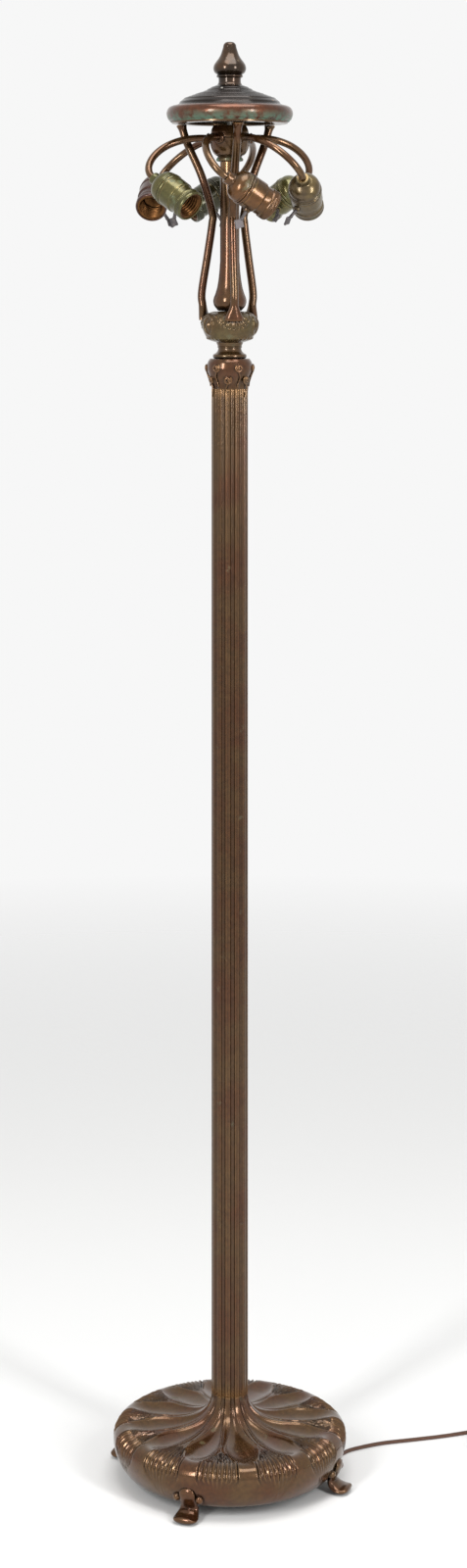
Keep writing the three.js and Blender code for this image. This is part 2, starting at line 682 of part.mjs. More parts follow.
function socketShell() {
  const inner = SOCKET_WAIST_RADIUS - SOCKET_WALL;
  const foot = SOCKET_CAP_LENGTH + GAP;
  const tube = toSolid(turned([
    [inner, foot], [SOCKET_RADIUS, foot], [SOCKET_RADIUS + 0.7, foot + 1.6], [SOCKET_RADIUS, foot + 3.2],
    [SOCKET_RADIUS, SOCKET_LENGTH - 21], [SOCKET_WAIST_RADIUS, SOCKET_LENGTH - 17],
    [SOCKET_WAIST_RADIUS, SOCKET_LENGTH - 10.5], [SOCKET_MOUTH_RADIUS, SOCKET_LENGTH - 9],
    [SOCKET_MOUTH_RADIUS, SOCKET_LENGTH - 2.4], [SOCKET_WAIST_RADIUS, SOCKET_LENGTH],
    [inner, SOCKET_LENGTH],
  ], 10));
  const across = (radius, from, to) => {
    const rod = new THREE.CylinderGeometry(radius, radius, to - from, 10).rotateZ(TAU / 4);
    return toSolid(rod.translate((from + to) / 2, 0, KEY_PLACE));
  };
  const boss = across(KEY_BOSS_RADIUS, inner + 0.2, SOCKET_RADIUS + KEY_BOSS_HEIGHT);
  const hole = across(KEY_SHAFT_RADIUS + GAP, inner - 4, SOCKET_RADIUS + KEY_BOSS_HEIGHT + 2);
  return fromSolid(tube.add(boss).subtract(hole));
}

function socketLiner() {
  const outer = SOCKET_WAIST_RADIUS - SOCKET_WALL - GAP;
  const mouth = SOCKET_LENGTH - LINER_RECESS;
  const floor = mouth - LAMP_BORE_DEPTH;
  return turned([
    [0, SOCKET_CAP_LENGTH - 3], [outer, SOCKET_CAP_LENGTH - 3], [outer, mouth],
    [LAMP_BORE_RADIUS, mouth], [LAMP_BORE_RADIUS, floor], [3, floor], [3, floor + 1.2], [0, floor + 1.2],
  ], 10);
}

// Turn key: a round shaft with a flat diamond blade
function turnKey() {
  const inner = SOCKET_WAIST_RADIUS - SOCKET_WALL;
  const shaftEnd = SOCKET_RADIUS + KEY_SHAFT_OUT;
  const shaft = new THREE.CylinderGeometry(KEY_SHAFT_RADIUS, KEY_SHAFT_RADIUS, shaftEnd - inner, 8);
  shaft.rotateZ(TAU / 4).translate((inner + shaftEnd) / 2, 0, KEY_PLACE);
  const start = shaftEnd - 3;
  const middle = start + KEY_BLADE_LENGTH / 2;
  const diamond = new THREE.Shape([
    new THREE.Vector2(start, 0),
    new THREE.Vector2(middle, -KEY_BLADE_WIDTH / 2),
    new THREE.Vector2(start + KEY_BLADE_LENGTH, 0),
    new THREE.Vector2(middle, KEY_BLADE_WIDTH / 2),
  ]);
  const blade = new THREE.ExtrudeGeometry(diamond, { depth: KEY_BLADE_THICKNESS, bevelEnabled: false });
  blade.translate(0, 0, -KEY_BLADE_THICKNESS / 2).rotateX(TAU / 4).translate(0, 0, KEY_PLACE);
  return fromSolid(toSolid(shaft).add(toSolid(blade)));
}

function hexNut() {
  const outline = roundSection(NUT_RADIUS, 6);
  outline.holes.push(roundSection(rodHoleRadius, 12));
  const nut = new THREE.ExtrudeGeometry(outline, { depth: NUT_THICKNESS, bevelEnabled: false });
  return nut.translate(0, 0, nutTop - NUT_THICKNESS);
}

function centrePieces() {
  const hole = rodHoleRadius;
  add('base_weight', turned([
    [hole, weightTop - WEIGHT_WEB], [WEIGHT_RECESS_RADIUS, weightTop - WEIGHT_WEB],
    [WEIGHT_RECESS_RADIUS, WEIGHT_BOTTOM], [WEIGHT_RADIUS, WEIGHT_BOTTOM],
    [WEIGHT_RADIUS, weightTop], [hole, weightTop],
  ], 24), castIron());
  add('lock_washer', turned([
    [hole, washerTop - WASHER_THICKNESS], [WASHER_RADIUS, washerTop - WASHER_THICKNESS],
    [WASHER_RADIUS, washerTop], [hole, washerTop],
  ], 16), steel());
  add('lock_nut', hexNut(), steel());
  add('centre_pipe', turned([
    [PIPE_BORE, pipeFoot], [PIPE_RADIUS, pipeFoot], [PIPE_RADIUS, pipeTop], [PIPE_BORE, pipeTop],
  ], 12), steel());
  add('neck_collar', turned([
    [hole, collarFoot], [COLLAR_BEAD_RADIUS - 1.6, collarFoot], [COLLAR_BEAD_RADIUS, collarFoot + 1.8],
    [COLLAR_BEAD_RADIUS, collarFoot + 4.2], [COLLAR_BEAD_RADIUS - 2, collarFoot + 6.6],
    [COLLAR_NECK_RADIUS + 0.4, collarFoot + 10], [COLLAR_NECK_RADIUS, collarFoot + 13],
    [COLLAR_NECK_RADIUS + 1.2, collarFoot + 17], [COLLAR_NECK_RADIUS + 2.4, collarTop],
    [hole, collarTop],
  ], 24), bronze());
  add('inner_stem', turned([
    [hole, stemFoot], [STEM_BULB_RADIUS - 6, stemFoot], [STEM_BULB_RADIUS - 2, stemFoot + 5],
    [STEM_BULB_RADIUS, stemFoot + 11], [STEM_BULB_RADIUS - 0.8, stemFoot + 16],
    [mix(STEM_RADIUS, STEM_BULB_RADIUS, 0.5), stemFoot + 28],
    [mix(STEM_RADIUS, STEM_BULB_RADIUS, 0.16), stemFoot + 46], [STEM_RADIUS, stemFoot + 70],
    [STEM_RADIUS, stemTop], [hole, stemTop],
  ], 20), bronze());
  add('hub_collar', turned([
    [hole, hubCollarFoot], [STEM_RADIUS + 1.5, hubCollarFoot], [HUB_COLLAR_RADIUS, hubCollarFoot + 1.6],
    [HUB_COLLAR_RADIUS, hubCollarTop - 1], [HUB_COLLAR_RADIUS - 1.5, hubCollarTop], [hole, hubCollarTop],
  ], 20), greenBronze());
  add('hub_lower', turned([
    [hole, hubLowerFoot], [HUB_COLLAR_RADIUS - 2, hubLowerFoot],
    [mix(HUB_COLLAR_RADIUS, HUB_RADIUS, 0.5), hubLowerFoot + 5], [HUB_RADIUS - 1.4, hubLowerFoot + 13],
    [HUB_RADIUS, hubLowerTop - 4], [HUB_RADIUS, hubLowerTop], [hole, hubLowerTop],
  ], 24), brownBronze());
  const tap = FINIAL_ROD_RADIUS + GAP;
  const tapFloor = hubUpperTop - FINIAL_ROD_GRIP - GAP;
  add('hub_upper', turned([
    [0, hubUpperFoot], [HUB_RADIUS, hubUpperFoot], [HUB_RADIUS - 0.6, hubUpperFoot + 5],
    [mix(HUB_TOP_RADIUS, HUB_RADIUS, 0.3), hubUpperTop - 3], [HUB_TOP_RADIUS, hubUpperTop],
    [tap, hubUpperTop], [tap, tapFloor], [0, tapFloor],
  ], 24), brownBronze());
  add('finial_rod', turned([
    [0, hubUpperTop - FINIAL_ROD_GRIP], [FINIAL_ROD_RADIUS, hubUpperTop - FINIAL_ROD_GRIP],
    [FINIAL_ROD_RADIUS, finialFoot + FINIAL_ROD_REACH], [0, finialFoot + FINIAL_ROD_REACH],
  ], 12), steel());
}

// Heat cap: a ridged dome, a step and a full round rim whose lip hangs over the shade ring
function heatCap() {
  const lip = RING_OUTER_RADIUS + CAP_LIP_CLEARANCE;
  const hole = FINIAL_ROD_RADIUS + GAP;
  const stepTop = capSeat + CAP_HEIGHT * 0.48;
  const outside = [[hole, capTop], [CAP_CROWN_RADIUS, capTop]];
  for (let i = 1; i <= 2 * CAP_RIDGES; i += 1) {
    const along = i / (2 * CAP_RIDGES + 1);
    const fall = mix(capTop, stepTop + 2, 0.72 * along + 0.28 * along * along);
    outside.push([mix(CAP_CROWN_RADIUS, CAP_STEP_RADIUS, along), fall + (i % 2 ? 0 : CAP_RIDGE_RISE)]);
  }
  const inside = [
    [CAP_RADIUS - 8, capSeat], [CAP_STEP_RADIUS - 1, capSeat],
    [CAP_STEP_RADIUS - 2, stepTop - 6],
    [mix(CAP_CROWN_RADIUS, CAP_STEP_RADIUS, 0.5), mix(stepTop, capTop, 0.5) - CAP_WALL - 1],
    [CAP_CROWN_RADIUS, capTop - CAP_WALL - 2], [hole, capTop - CAP_WALL - 2],
  ];
  return turned([
    ...outside,
    [CAP_STEP_RADIUS, stepTop], [CAP_STEP_RADIUS + 0.4, stepTop - 1.8],
    [CAP_RADIUS - 7, stepTop - 3], [CAP_RADIUS - 2.6, stepTop - 5.6], [CAP_RADIUS - 0.6, stepTop - 9],
    [CAP_RADIUS, stepTop - 12], [CAP_RADIUS - 0.8, capSeat + 4], [CAP_RADIUS - 2.6, capSeat + 0.6],
    [lip + 1.4, capSeat - CAP_LIP_DROP], [lip, capSeat - CAP_LIP_DROP], [lip, capSeat],
    ...inside,
  ], 32);
}

function finial() {
  const hole = FINIAL_ROD_RADIUS + GAP;
  const share = (radius, part) => [radius, finialFoot + part * FINIAL_HEIGHT];
  const bore = finialFoot + FINIAL_ROD_REACH + GAP;
  return turned([
    [0, bore], [hole, bore], [hole, finialFoot],
    share(FINIAL_FOOT_RADIUS, 0), share(FINIAL_NECK_RADIUS, 0.07), share(FINIAL_NECK_RADIUS, 0.14),
    share(FINIAL_NECK_RADIUS + 0.6, 0.17), share(FINIAL_NECK_RADIUS + 2.6, 0.19),
    share(FINIAL_NECK_RADIUS + 2.6, 0.235), share(FINIAL_RADIUS - 3.6, 0.26),
    share(FINIAL_RADIUS - 1, 0.33), share(FINIAL_RADIUS, 0.39), share(FINIAL_RADIUS - 0.7, 0.47),
    share(FINIAL_RADIUS * 0.8, 0.56), share(FINIAL_RADIUS * 0.57, 0.69), share(FINIAL_RADIUS * 0.44, 0.81),
    share(FINIAL_RADIUS * 0.39, 0.9), share(FINIAL_RADIUS * 0.25, 0.975), share(0, 1),
  ], 16);
}

// Cord: out of the pipe's foot, down to the floor, under the rim and away behind the lamp's right
const cordRest = CORD_RADIUS + CORD_FLOOR_CLEARANCE;
const cordExit = pipeFoot - BUSHING_LENGTH / 2 - GAP;
const cordRoute = [
  [0, 0, cordExit], [0, 0, cordExit - 6], [3.5, 1.2, 10.5], [13, 4.8, 3.8], [27, 10.2, cordRest],
  [60, 24, cordRest], [88, 40, cordRest], [104, 58, cordRest], [110.5, 76, cordRest],
  [111, 92, cordRest], [115.5, 108, cordRest], [125, 122, cordRest], [149, 147, cordRest],
  [182, 171, cordRest], [217, 197, cordRest], [250, 226, cordRest], [282, 254.5, cordRest],
];
const [beforeLast, last] = cordRoute.slice(-2).map(([x, y]) => new THREE.Vector2(x, y));
const heading = last.clone().sub(beforeLast).normalize();
const cordEnd = last.clone().addScaledVector(heading, 2 * CORD_RADIUS);
cordRoute.push([cordEnd.x, cordEnd.y, cordRest]);
const coilEntry = cordEnd.clone().addScaledVector(heading, GAP + 2 * CORD_RADIUS);
const coilHeading = heading.angle();

const cordPath = new THREE.CatmullRomCurve3(
  cordRoute.map(([x, y, z]) => new THREE.Vector3(x, y, z)), false, 'centripetal');

// Coil: loops that spiral in and out in layers and climb in the half turn where they reverse
function coilPoints() {
  const inward = COIL_TURNS / COIL_LAYERS;
  const outer = COIL_MEAN_RADIUS + inward * COIL_PITCH / 2;
  const side = new THREE.Vector2(Math.sin(coilHeading), -Math.cos(coilHeading));
  const centre = coilEntry.clone().addScaledVector(side, outer);
  const startAngle = Math.atan2(-side.y, -side.x);
  const total = COIL_TURNS * COIL_STEPS;
  const points = [];
  for (let i = 0; i <= total; i += 1) {
    const turns = i / COIL_STEPS;
    const phase = (turns / inward) % 2;
    const wave = phase <= 1 ? phase : 2 - phase;
    const radius = outer - wave * inward * COIL_PITCH;
    let layer = 0;
    for (let step = 1; step < COIL_LAYERS; step += 1) {
      layer += smooth((turns - step * inward) * 2 + 0.5);
    }
    const angle = startAngle - turns * TAU;
    points.push(new THREE.Vector3(centre.x + radius * Math.cos(angle),
      centre.y + radius * Math.sin(angle), cordRest + layer * COIL_PITCH));
  }
  const tangentAt = (angle) => new THREE.Vector3(Math.sin(angle), -Math.cos(angle), 0);
  const first = tangentAt(startAngle);
  const last = tangentAt(startAngle - COIL_TURNS * TAU);
  const lead = 2 * CORD_RADIUS;
  points.unshift(points[0].clone().addScaledVector(first, -lead));
  points.push(points[points.length - 1].clone().addScaledVector(last, lead));
  points.push(points[points.length - 1].clone().addScaledVector(last, COIL_TAIL - lead));
  return { points, last };
}

function coilTube(points) {
  const rings = points.map((point, i) => {
    const before = points[Math.max(0, i - 1)];
    const after = points[Math.min(points.length - 1, i + 1)];
    const along = after.clone().sub(before).normalize();
    const side = new THREE.Vector3(-along.y, along.x, 0).normalize();
    const up = new THREE.Vector3().crossVectors(along, side);
    return evenRing(Array.from({ length: COIL_SIDES }, (v, k) => {
      const angle = TAU * (k + 0.5) / COIL_SIDES;
      return point.clone()
        .addScaledVector(side, CORD_RADIUS * Math.cos(angle))
        .addScaledVector(up, CORD_RADIUS * Math.sin(angle));
    }));
  });
  return skin(rings, false);
}

// Least distance between the surfaces of loops that aren't neighbours along the cord
function leastCoilGap(points) {
  let least = Infinity;
  const apart = COIL_STEPS / 2;
  for (let i = 0; i < points.length; i += 1) {
    for (let j = i + apart; j + 1 < points.length; j += 1) {
      const stretch = new THREE.Line3(points[j], points[j + 1]);
      const near = stretch.closestPointToPoint(points[i], true, new THREE.Vector3());
      least = Math.min(least, near.distanceTo(points[i]) - 2 * CORD_RADIUS);
    }
  }
  return least;
}

// Round two-pin plug, lying on the floor at the coil's loose end
function plug() {
  const sleeve = CORD_RADIUS + 2;
  const body = toSolid(turned([
    [0, GAP], [sleeve, GAP], [sleeve, PLUG_LENGTH * 0.3], [PLUG_RADIUS * 0.6, PLUG_LENGTH * 0.48],
    [PLUG_RADIUS * 0.95, PLUG_LENGTH * 0.68], [PLUG_RADIUS, PLUG_LENGTH * 0.8],
    [PLUG_RADIUS, PLUG_LENGTH * 0.96], [PLUG_RADIUS - 1.5, PLUG_LENGTH], [0, PLUG_LENGTH],
  ], 16));
  const blade = (offset) => {
    const flat = new THREE.BoxGeometry(1.5, 6.4, PLUG_BLADE_LENGTH + 2);
    return toSolid(flat.translate(offset, 0, PLUG_LENGTH + PLUG_BLADE_LENGTH / 2 - 1));
  };
  return fromSolid(body.add(blade(PLUG_BLADE_SPACING / 2)).add(blade(-PLUG_BLADE_SPACING / 2)));
}

function bushing() {
  const hole = CORD_RADIUS + GAP;
  const foot = pipeFoot - BUSHING_LENGTH / 2;
  return turned([
    [hole, foot], [BUSHING_FLANGE_RADIUS - 1, foot], [BUSHING_FLANGE_RADIUS, pipeFoot - GAP],
    [PIPE_BORE - GAP, pipeFoot - GAP], [PIPE_BORE - GAP, foot + BUSHING_LENGTH],
    [hole, foot + BUSHING_LENGTH],
  ], 16);
}

add('base_shell', castFoot(), bronze());
const footGeometry = slipperFoot();
for (let i = 0; i < FOOT_COUNT; i += 1) {
  add(`foot_${i + 1}`, footGeometry, bronze()).rotation.z = TAU * i / FOOT_COUNT;
}
centrePieces();
add('column', flutedColumn(), bronze());
add('capital', scrolledCapital(), bronze());
add('pod', fannedPod(0), greenBronze());

const podBody = toSolid(fannedPod(GAP));
for (let i = 0; i < ROD_COUNT; i += 1) {
  const turn = degrees(ROD_START_ANGLE) + TAU * i / ROD_COUNT;
  const rod = harpRod().rotateZ(turn);
  add(`harp_rod_${i + 1}`, fromSolid(toSolid(rod).subtract(podBody)), brownBronze());
}
add('shade_ring', turned([
  [RING_INNER_RADIUS, ringFoot], [RING_OUTER_RADIUS, ringFoot],
  [RING_OUTER_RADIUS, ringTop], [RING_INNER_RADIUS, ringTop],
], 36), darkBronze());

const arm = armPath();
const armGeometry = tubeAlong(arm.path, ARM_RADIUS, 8, 12);
const socketPieces = [
  ['socket_cap', socketCap(), socketBrass],
  ['socket_shell', socketShell(), socketBrass],
  ['socket_liner', socketLiner(), threadBrass],
  ['key', turnKey(), keyGrey],
];
for (let i = 0; i < ARM_COUNT; i += 1) {
  const branch = new THREE.Group();
  branch.rotation.z = degrees(ARM_START_ANGLE) + TAU * i / ARM_COUNT;
  lamp.add(branch);
  add(`arm_${i + 1}`, armGeometry, brownBronze(), branch);
  const socket = new THREE.Group();
  socketFrame(arm.end, arm.aim, SOCKET_ROLLS[i]).decompose(socket.position, socket.quaternion, socket.scale);
  branch.add(socket);
  for (const [name, geometry, material] of socketPieces) {
    add(`${name}_${i + 1}`, geometry, material(), socket);
  }
}

add('heat_cap', heatCap(), darkBronze());
add('finial', finial(), brownBronze());
add('cord_bushing', bushing(), brownPlastic());
add('cord_run', tubeAlong(cordPath, CORD_RADIUS, 8, 40), brownCloth());
const coil = coilPoints();
add('cord_coil', coilTube(coil.points), brownCloth());
console.log(`least gap between the coil's loops: ${leastCoilGap(coil.points).toFixed(2)} mm`);
const plugMesh = add('plug', plug(), brownPlastic());
plugMesh.position.copy(coil.points[coil.points.length - 1]);
plugMesh.quaternion.setFromUnitVectors(new THREE.Vector3(0, 0, 1), coil.last);

export default lamp;
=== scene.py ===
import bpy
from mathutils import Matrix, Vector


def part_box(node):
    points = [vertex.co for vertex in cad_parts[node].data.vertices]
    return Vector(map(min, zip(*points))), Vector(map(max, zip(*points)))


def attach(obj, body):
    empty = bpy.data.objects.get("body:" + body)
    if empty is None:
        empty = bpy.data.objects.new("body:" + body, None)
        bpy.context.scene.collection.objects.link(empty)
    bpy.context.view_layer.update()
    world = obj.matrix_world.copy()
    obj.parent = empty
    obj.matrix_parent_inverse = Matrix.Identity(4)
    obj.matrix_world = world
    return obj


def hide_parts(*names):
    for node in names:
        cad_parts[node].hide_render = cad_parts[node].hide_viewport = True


bl_info = {
    "name": "Floor lamp base",
    "version": (1, 0, 0),
    "blender": (4, 5, 0),
    "location": "3D View > Sidebar > Lamp base",
    "description": "Dresses the floor lamp base in patinated bronze, aged brass and cloth",
    "category": "Add Mesh",
}

import math

import bmesh
import bpy
from bpy.props import FloatProperty, IntProperty, PointerProperty, StringProperty
from mathutils import Matrix, Vector

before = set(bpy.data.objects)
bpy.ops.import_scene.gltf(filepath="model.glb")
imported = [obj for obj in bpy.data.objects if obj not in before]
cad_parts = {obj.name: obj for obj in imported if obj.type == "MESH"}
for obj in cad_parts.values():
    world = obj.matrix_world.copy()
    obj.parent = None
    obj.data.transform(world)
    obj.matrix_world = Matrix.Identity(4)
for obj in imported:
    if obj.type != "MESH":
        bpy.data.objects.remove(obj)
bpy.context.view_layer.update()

# Meshes are worked out in millimetres, and made in metres
MM = 0.001

# The cast foot's outline and relief
SECTORS = 12
COLUMN_RADIUS = 22.2
COLUMN_BORE = 17.5
FOOT_HEIGHT = 102.0
FOOT_RADIUS = 143.0
WIDEST_HEIGHT = 50.0
CREST_RADIUS = 122.0
CREST_HEIGHT = 67.0
DISH_RADIUS = 76.0
DISH_HEIGHT = 67.3
SKIRT_RADIUS = 130.5
SKIRT_HEIGHT = 16.6
PETAL_DEEPEST_RADIUS = 100.0
PETAL_SPREAD = 12.5
FAN_START_RADIUS = 83.0
PETAL_TIP_RADIUS = 138.0
PETAL_TIP_SPREAD = 4.5
FLUTE_SPREAD = 7.5

# The frame that the arms, rods and sockets share with the solids
ROD_COUNT = 3
ROD_START = 60.0
ARM_COUNT = 6
ARM_START = 21.0
ARM_RADIUS = 4.5
HUB_RADIUS = 24.6
ARM_REACH = 104.0
ARM_SWING = 27.7
ARM_DROP = 50.0
SOCKET_TURN = 113.4
SOCKET_DIP = 31.0
SOCKET_ROLLS = (47.0, 66.0, 65.0, 66.0, 90.0, 59.0)
NECK_LENGTH = 9.0
KEY_PLACE = 43.0
SOCKET_LENGTH = 69.0

CORD_RADIUS = 2.25
CORD_REST = 2.3


def level(node):
    """Lowest and highest height of a CAD node, in millimetres."""
    low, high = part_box(node)
    return low[2] / MM, high[2] / MM


def smooth(t):
    x = min(1.0, max(0.0, t))
    return x * x * (3 - 2 * x)


def mix(a, b, t):
    return a + (b - a) * t


def hump(x, width):
    return math.exp(-(x / width) ** 2)


def flowing(points, steps=5):
    """Points of a smooth line through the given ones; a third value, 1, makes a corner."""
    corners = [i for i, p in enumerate(points) if len(p) > 2] + [len(points) - 1]
    line, start = [], 0
    for stop in corners:
        if stop <= start:
            continue
        run = [Vector(p[:2]) for p in points[start:stop + 1]]
        for i in range(len(run) - 1):
            a, b, c, d = run[max(0, i - 1)], run[i], run[i + 1], run[min(len(run) - 1, i + 2)]
            pieces = 1 if len(run) == 2 else steps
            for k in range(pieces):
                t = k / pieces
                line.append(0.5 * ((2 * b) + (c - a) * t + (2 * a - 5 * b + 4 * c - d) * t * t
                                   + (3 * b - a - 3 * c + d) * t ** 3))
        start = stop
    line.append(Vector(points[-1][:2]))
    return [(p.x, p.y) for p in line]


def piece(name, vertices, faces, place=None, corner=38):
    """A closed, smooth-shaded mesh piece from points in millimetres."""
    mesh = bpy.data.meshes.new(name)
    mesh.from_pydata([Vector(v) * MM for v in vertices], [], faces)
    if place is not None:
        mesh.transform(place)
    bm = bmesh.new()
    bm.from_mesh(mesh)
    bmesh.ops.remove_doubles(bm, verts=bm.verts, dist=1e-7)
    bmesh.ops.recalc_face_normals(bm, faces=bm.faces)
    bm.to_mesh(mesh)
    bm.free()
    mesh.shade_smooth()
    mesh.set_sharp_from_angle(angle=math.radians(corner))
    thing = bpy.data.objects.new(name, mesh)
    bpy.context.scene.collection.objects.link(thing)
    return thing


def revolve(name, outline, count=96, closed=False, warp=None, place=None, corner=38):
    """A turned piece: the outline's (radius, height) points go round Z, past warp where given."""
    vertices, rings, faces = [], [], []
    for radius, height in outline:
        start = len(vertices)
        if radius < 1e-6:
            rings.append([start] * count)
            vertices.append((0, 0, height))
            continue
        rings.append(list(range(start, start + count)))
        for k in range(count):
            angle = math.tau * k / count
            r, z = warp(angle, radius, height) if warp else (radius, height)
            vertices.append((r * math.cos(angle), r * math.sin(angle), z))
    pairs = list(zip(rings, rings[1:]))
    if closed:
        pairs.append((rings[-1], rings[0]))
    for low, high in pairs:
        for k in range(count):
            n = (k + 1) % count
            face = list(dict.fromkeys((low[k], low[n], high[n], high[k])))
            if len(face) > 2:
                faces.append(face)
    if not closed:
        faces += [ring for ring in (rings[0], rings[-1]) if len(set(ring)) > 1]
    return piece(name, vertices, faces, place, corner)


def sweep(name, path, half_sizes, sides=20, place=None, domed=False):
    """A tube along path; half_sizes(t) is its half width across and along the first side."""
    vertices, faces = [], []
    side = None
    last = len(path) - 1
    for i, centre in enumerate(path):
        along = (path[min(last, i + 1)] - path[max(0, i - 1)]).normalized()
        if side is None:
            side = Vector((0, 0, 1)) if abs(along.z) < 0.9 else Vector((1, 0, 0))
        side = (side - along * side.dot(along)).normalized()
        up = along.cross(side)
        a, b = half_sizes(i / last)
        for k in range(sides):
            angle = math.tau * k / sides
            vertices.append(centre + side * (a * math.cos(angle)) + up * (b * math.sin(angle)))
    for i in range(last):
        for k in range(sides):
            n = (k + 1) % sides
            low = i * sides
            faces.append((low + k, low + n, low + sides + n, low + sides + k))
    for start, centre, out in ((0, path[0], path[0] - path[1]),
                               (last * sides, path[-1], path[-1] - path[-2])):
        hub = len(vertices)
        rise = out.normalized() * (half_sizes(0 if start == 0 else 1)[0] * 0.5) if domed else out * 0
        vertices.append(centre + rise)
        faces += [(start + k, start + (k + 1) % sides, hub) for k in range(sides)]
    return piece(name, vertices, faces, place)


def curve_points(points, steps):
    """A smooth line in space through points."""
    spots = [Vector(p) for p in points]
    line = []
    for i in range(len(spots) - 1):
        a, b, c = spots[max(0, i - 1)], spots[i], spots[i + 1]
        d = spots[min(len(spots) - 1, i + 2)]
        for k in range(steps):
            t = k / steps
            line.append(0.5 * ((2 * b) + (c - a) * t + (2 * a - 5 * b + 4 * c - d) * t * t
                               + (3 * b - a - 3 * c + d) * t ** 3))
    return line + [spots[-1]]


def bezier(a, b, c, d, steps):
    def at(t):
        s = 1 - t
        return a * s ** 3 + b * (3 * s * s * t) + c * (3 * s * t * t) + d * t ** 3
    return [at(i / steps) for i in range(steps + 1)]


def dress(thing, body, slot, material, *nodes):
    """Rides the piece on its body, with its finish and the nodes it stands for; slot is not used."""
    thing.data.materials.clear()
    thing.data.materials.append(material)
    if nodes:
        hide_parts(*nodes)
    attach(thing, body)
    return thing


def linear(code):
    """A linear colour from an sRGB hex code."""
    parts = [int(code.lstrip("#")[i:i + 2], 16) / 255 for i in (0, 2, 4)]
    return [p / 12.92 if p <= 0.04045 else ((p + 0.055) / 1.055) ** 2.4 for p in parts] + [1.0]


def put(tree, kind, settings=None, links=None):
    """Adds a node with its settings, by attribute or socket, and the links into it."""
    made = tree.nodes.new(kind)
    for key, value in (settings or {}).items():
        if isinstance(key, str) and hasattr(made, key):
            setattr(made, key, value)
        else:
            made.inputs[key].default_value = value
    for key, output in (links or {}).items():
        tree.links.new(output, made.inputs[key])
    return made


# Socket numbers of a colour Mix node
FACTOR, FIRST, SECOND, MIXED = 0, 6, 7, 2


def blend(tree, factor, first, second, blend_type="MIX"):
    """A colour between first and second, each a hex code or another node's output."""
    settings, links = {"data_type": "RGBA", "blend_type": blend_type}, {FACTOR: factor}
    for place, value in ((FIRST, first), (SECOND, second)):
        if isinstance(value, str):
            settings[place] = linear(value)
        else:
            links[place] = value
    return put(tree, "ShaderNodeMix", settings, links).outputs[MIXED]


def span(tree, value, low, high, start=0.0, end=1.0):
    return put(tree, "ShaderNodeMapRange",
               {"From Min": low, "From Max": high, "To Min": start, "To Max": end},
               {"Value": value}).outputs["Result"]


def speckle(tree, place, size_mm, detail=4.0):
    """Noise whose spots are about size_mm across."""
    return put(tree, "ShaderNodeTexNoise", {"Scale": 1 / (size_mm * MM), "Detail": detail},
               {"Vector": place}).outputs["Fac"]


def fresh(name):
    material = bpy.data.materials.new(name)
    material.use_nodes = True
    tree = material.node_tree
    shader = tree.nodes["Principled BSDF"]
    place = put(tree, "ShaderNodeTexCoord").outputs["Object"]
    return material, tree, shader, place


def patina(name, brown, red, wax_and_shade, worn, green, green_share=0.12, roughness=0.28,
           metallic=0.72, green_heights=None):
    """Cast or turned bronze under a waxed brown patina: red and olive clouds, hollows darkened
    with painted shade from ambient occlusion, edges rubbed to metal and a little verdigris."""
    material, tree, shader, place = fresh(name)
    clouds = span(tree, speckle(tree, place, 38, 5), 0.40, 0.62)
    colour = blend(tree, clouds, brown, red)
    fine = span(tree, speckle(tree, place, 5, 6), 0.35, 0.7)
    colour = blend(tree, span(tree, fine, 0, 1, 0, 0.35), colour, wax_and_shade)
    patches = span(tree, speckle(tree, place, 17, 8), 0.66 - green_share, 0.76 - green_share)
    if green_heights:
        height = put(tree, "ShaderNodeSeparateXYZ", None, {"Vector": place}).outputs["Z"]
        low = span(tree, height, green_heights[1] * MM, green_heights[0] * MM)
        patches = put(tree, "ShaderNodeMath", {"operation": "MULTIPLY"},
                      {0: low, 1: span(tree, speckle(tree, place, 9, 8), 0.38, 0.56)}).outputs[0]
    colour = blend(tree, span(tree, patches, 0, 1, 0, 0.75), colour, green)
    # Painted shade: ambient occlusion darkens hollows, creases and flutes towards the dark wax colour
    occlusion_shade = put(tree, "ShaderNodeAmbientOcclusion", {"samples": 8, "Distance": 7 * MM})
    shade = span(tree, occlusion_shade.outputs["AO"], 0.5, 0.97, 0.95, 0.0)
    colour = blend(tree, shade, colour, wax_and_shade)
    rubbed = put(tree, "ShaderNodeNewGeometry").outputs["Pointiness"]
    edges = span(tree, rubbed, 0.52, 0.64, 0.0, 0.6)
    colour = blend(tree, edges, colour, worn)
    tree.links.new(colour, shader.inputs["Base Color"])
    tree.links.new(span(tree, patches, 0, 1, roughness, roughness + 0.35), shader.inputs["Roughness"])
    tree.links.new(span(tree, patches, 0, 1, metallic, 0.1), shader.inputs["Metallic"])
    shader.inputs["Coat Weight"].default_value = 0.3
    shader.inputs["Coat Roughness"].default_value = 0.14
    grain = put(tree, "ShaderNodeBump", {"Strength": 0.1, "Distance": 0.4 * MM},
                {"Height": speckle(tree, place, 1.6, 5)})
    cast = put(tree, "ShaderNodeBump", {"Strength": 0.14, "Distance": 1.2 * MM},
               {"Height": speckle(tree, place, 12, 3), "Normal": grain.outputs["Normal"]})
    tree.links.new(cast.outputs["Normal"], shader.inputs["Normal"])
    return material


def plain_metal(name, colour, dark, roughness, size_mm=3.0, metallic=0.9, strength=0.1):
    """A metal with small stains and a fine grain."""
    material, tree, shader, place = fresh(name)
    stains = span(tree, speckle(tree, place, size_mm * 3, 6), 0.42, 0.68)
    tree.links.new(blend(tree, stains, colour, dark), shader.inputs["Base Color"])
    tree.links.new(span(tree, stains, 0, 1, roughness, roughness + 0.2), shader.inputs["Roughness"])
    shader.inputs["Metallic"].default_value = metallic
    bump = put(tree, "ShaderNodeBump", {"Strength": strength, "Distance": 0.5 * MM},
               {"Height": speckle(tree, place, size_mm, 5)})
    tree.links.new(bump.outputs["Normal"], shader.inputs["Normal"])
    return material


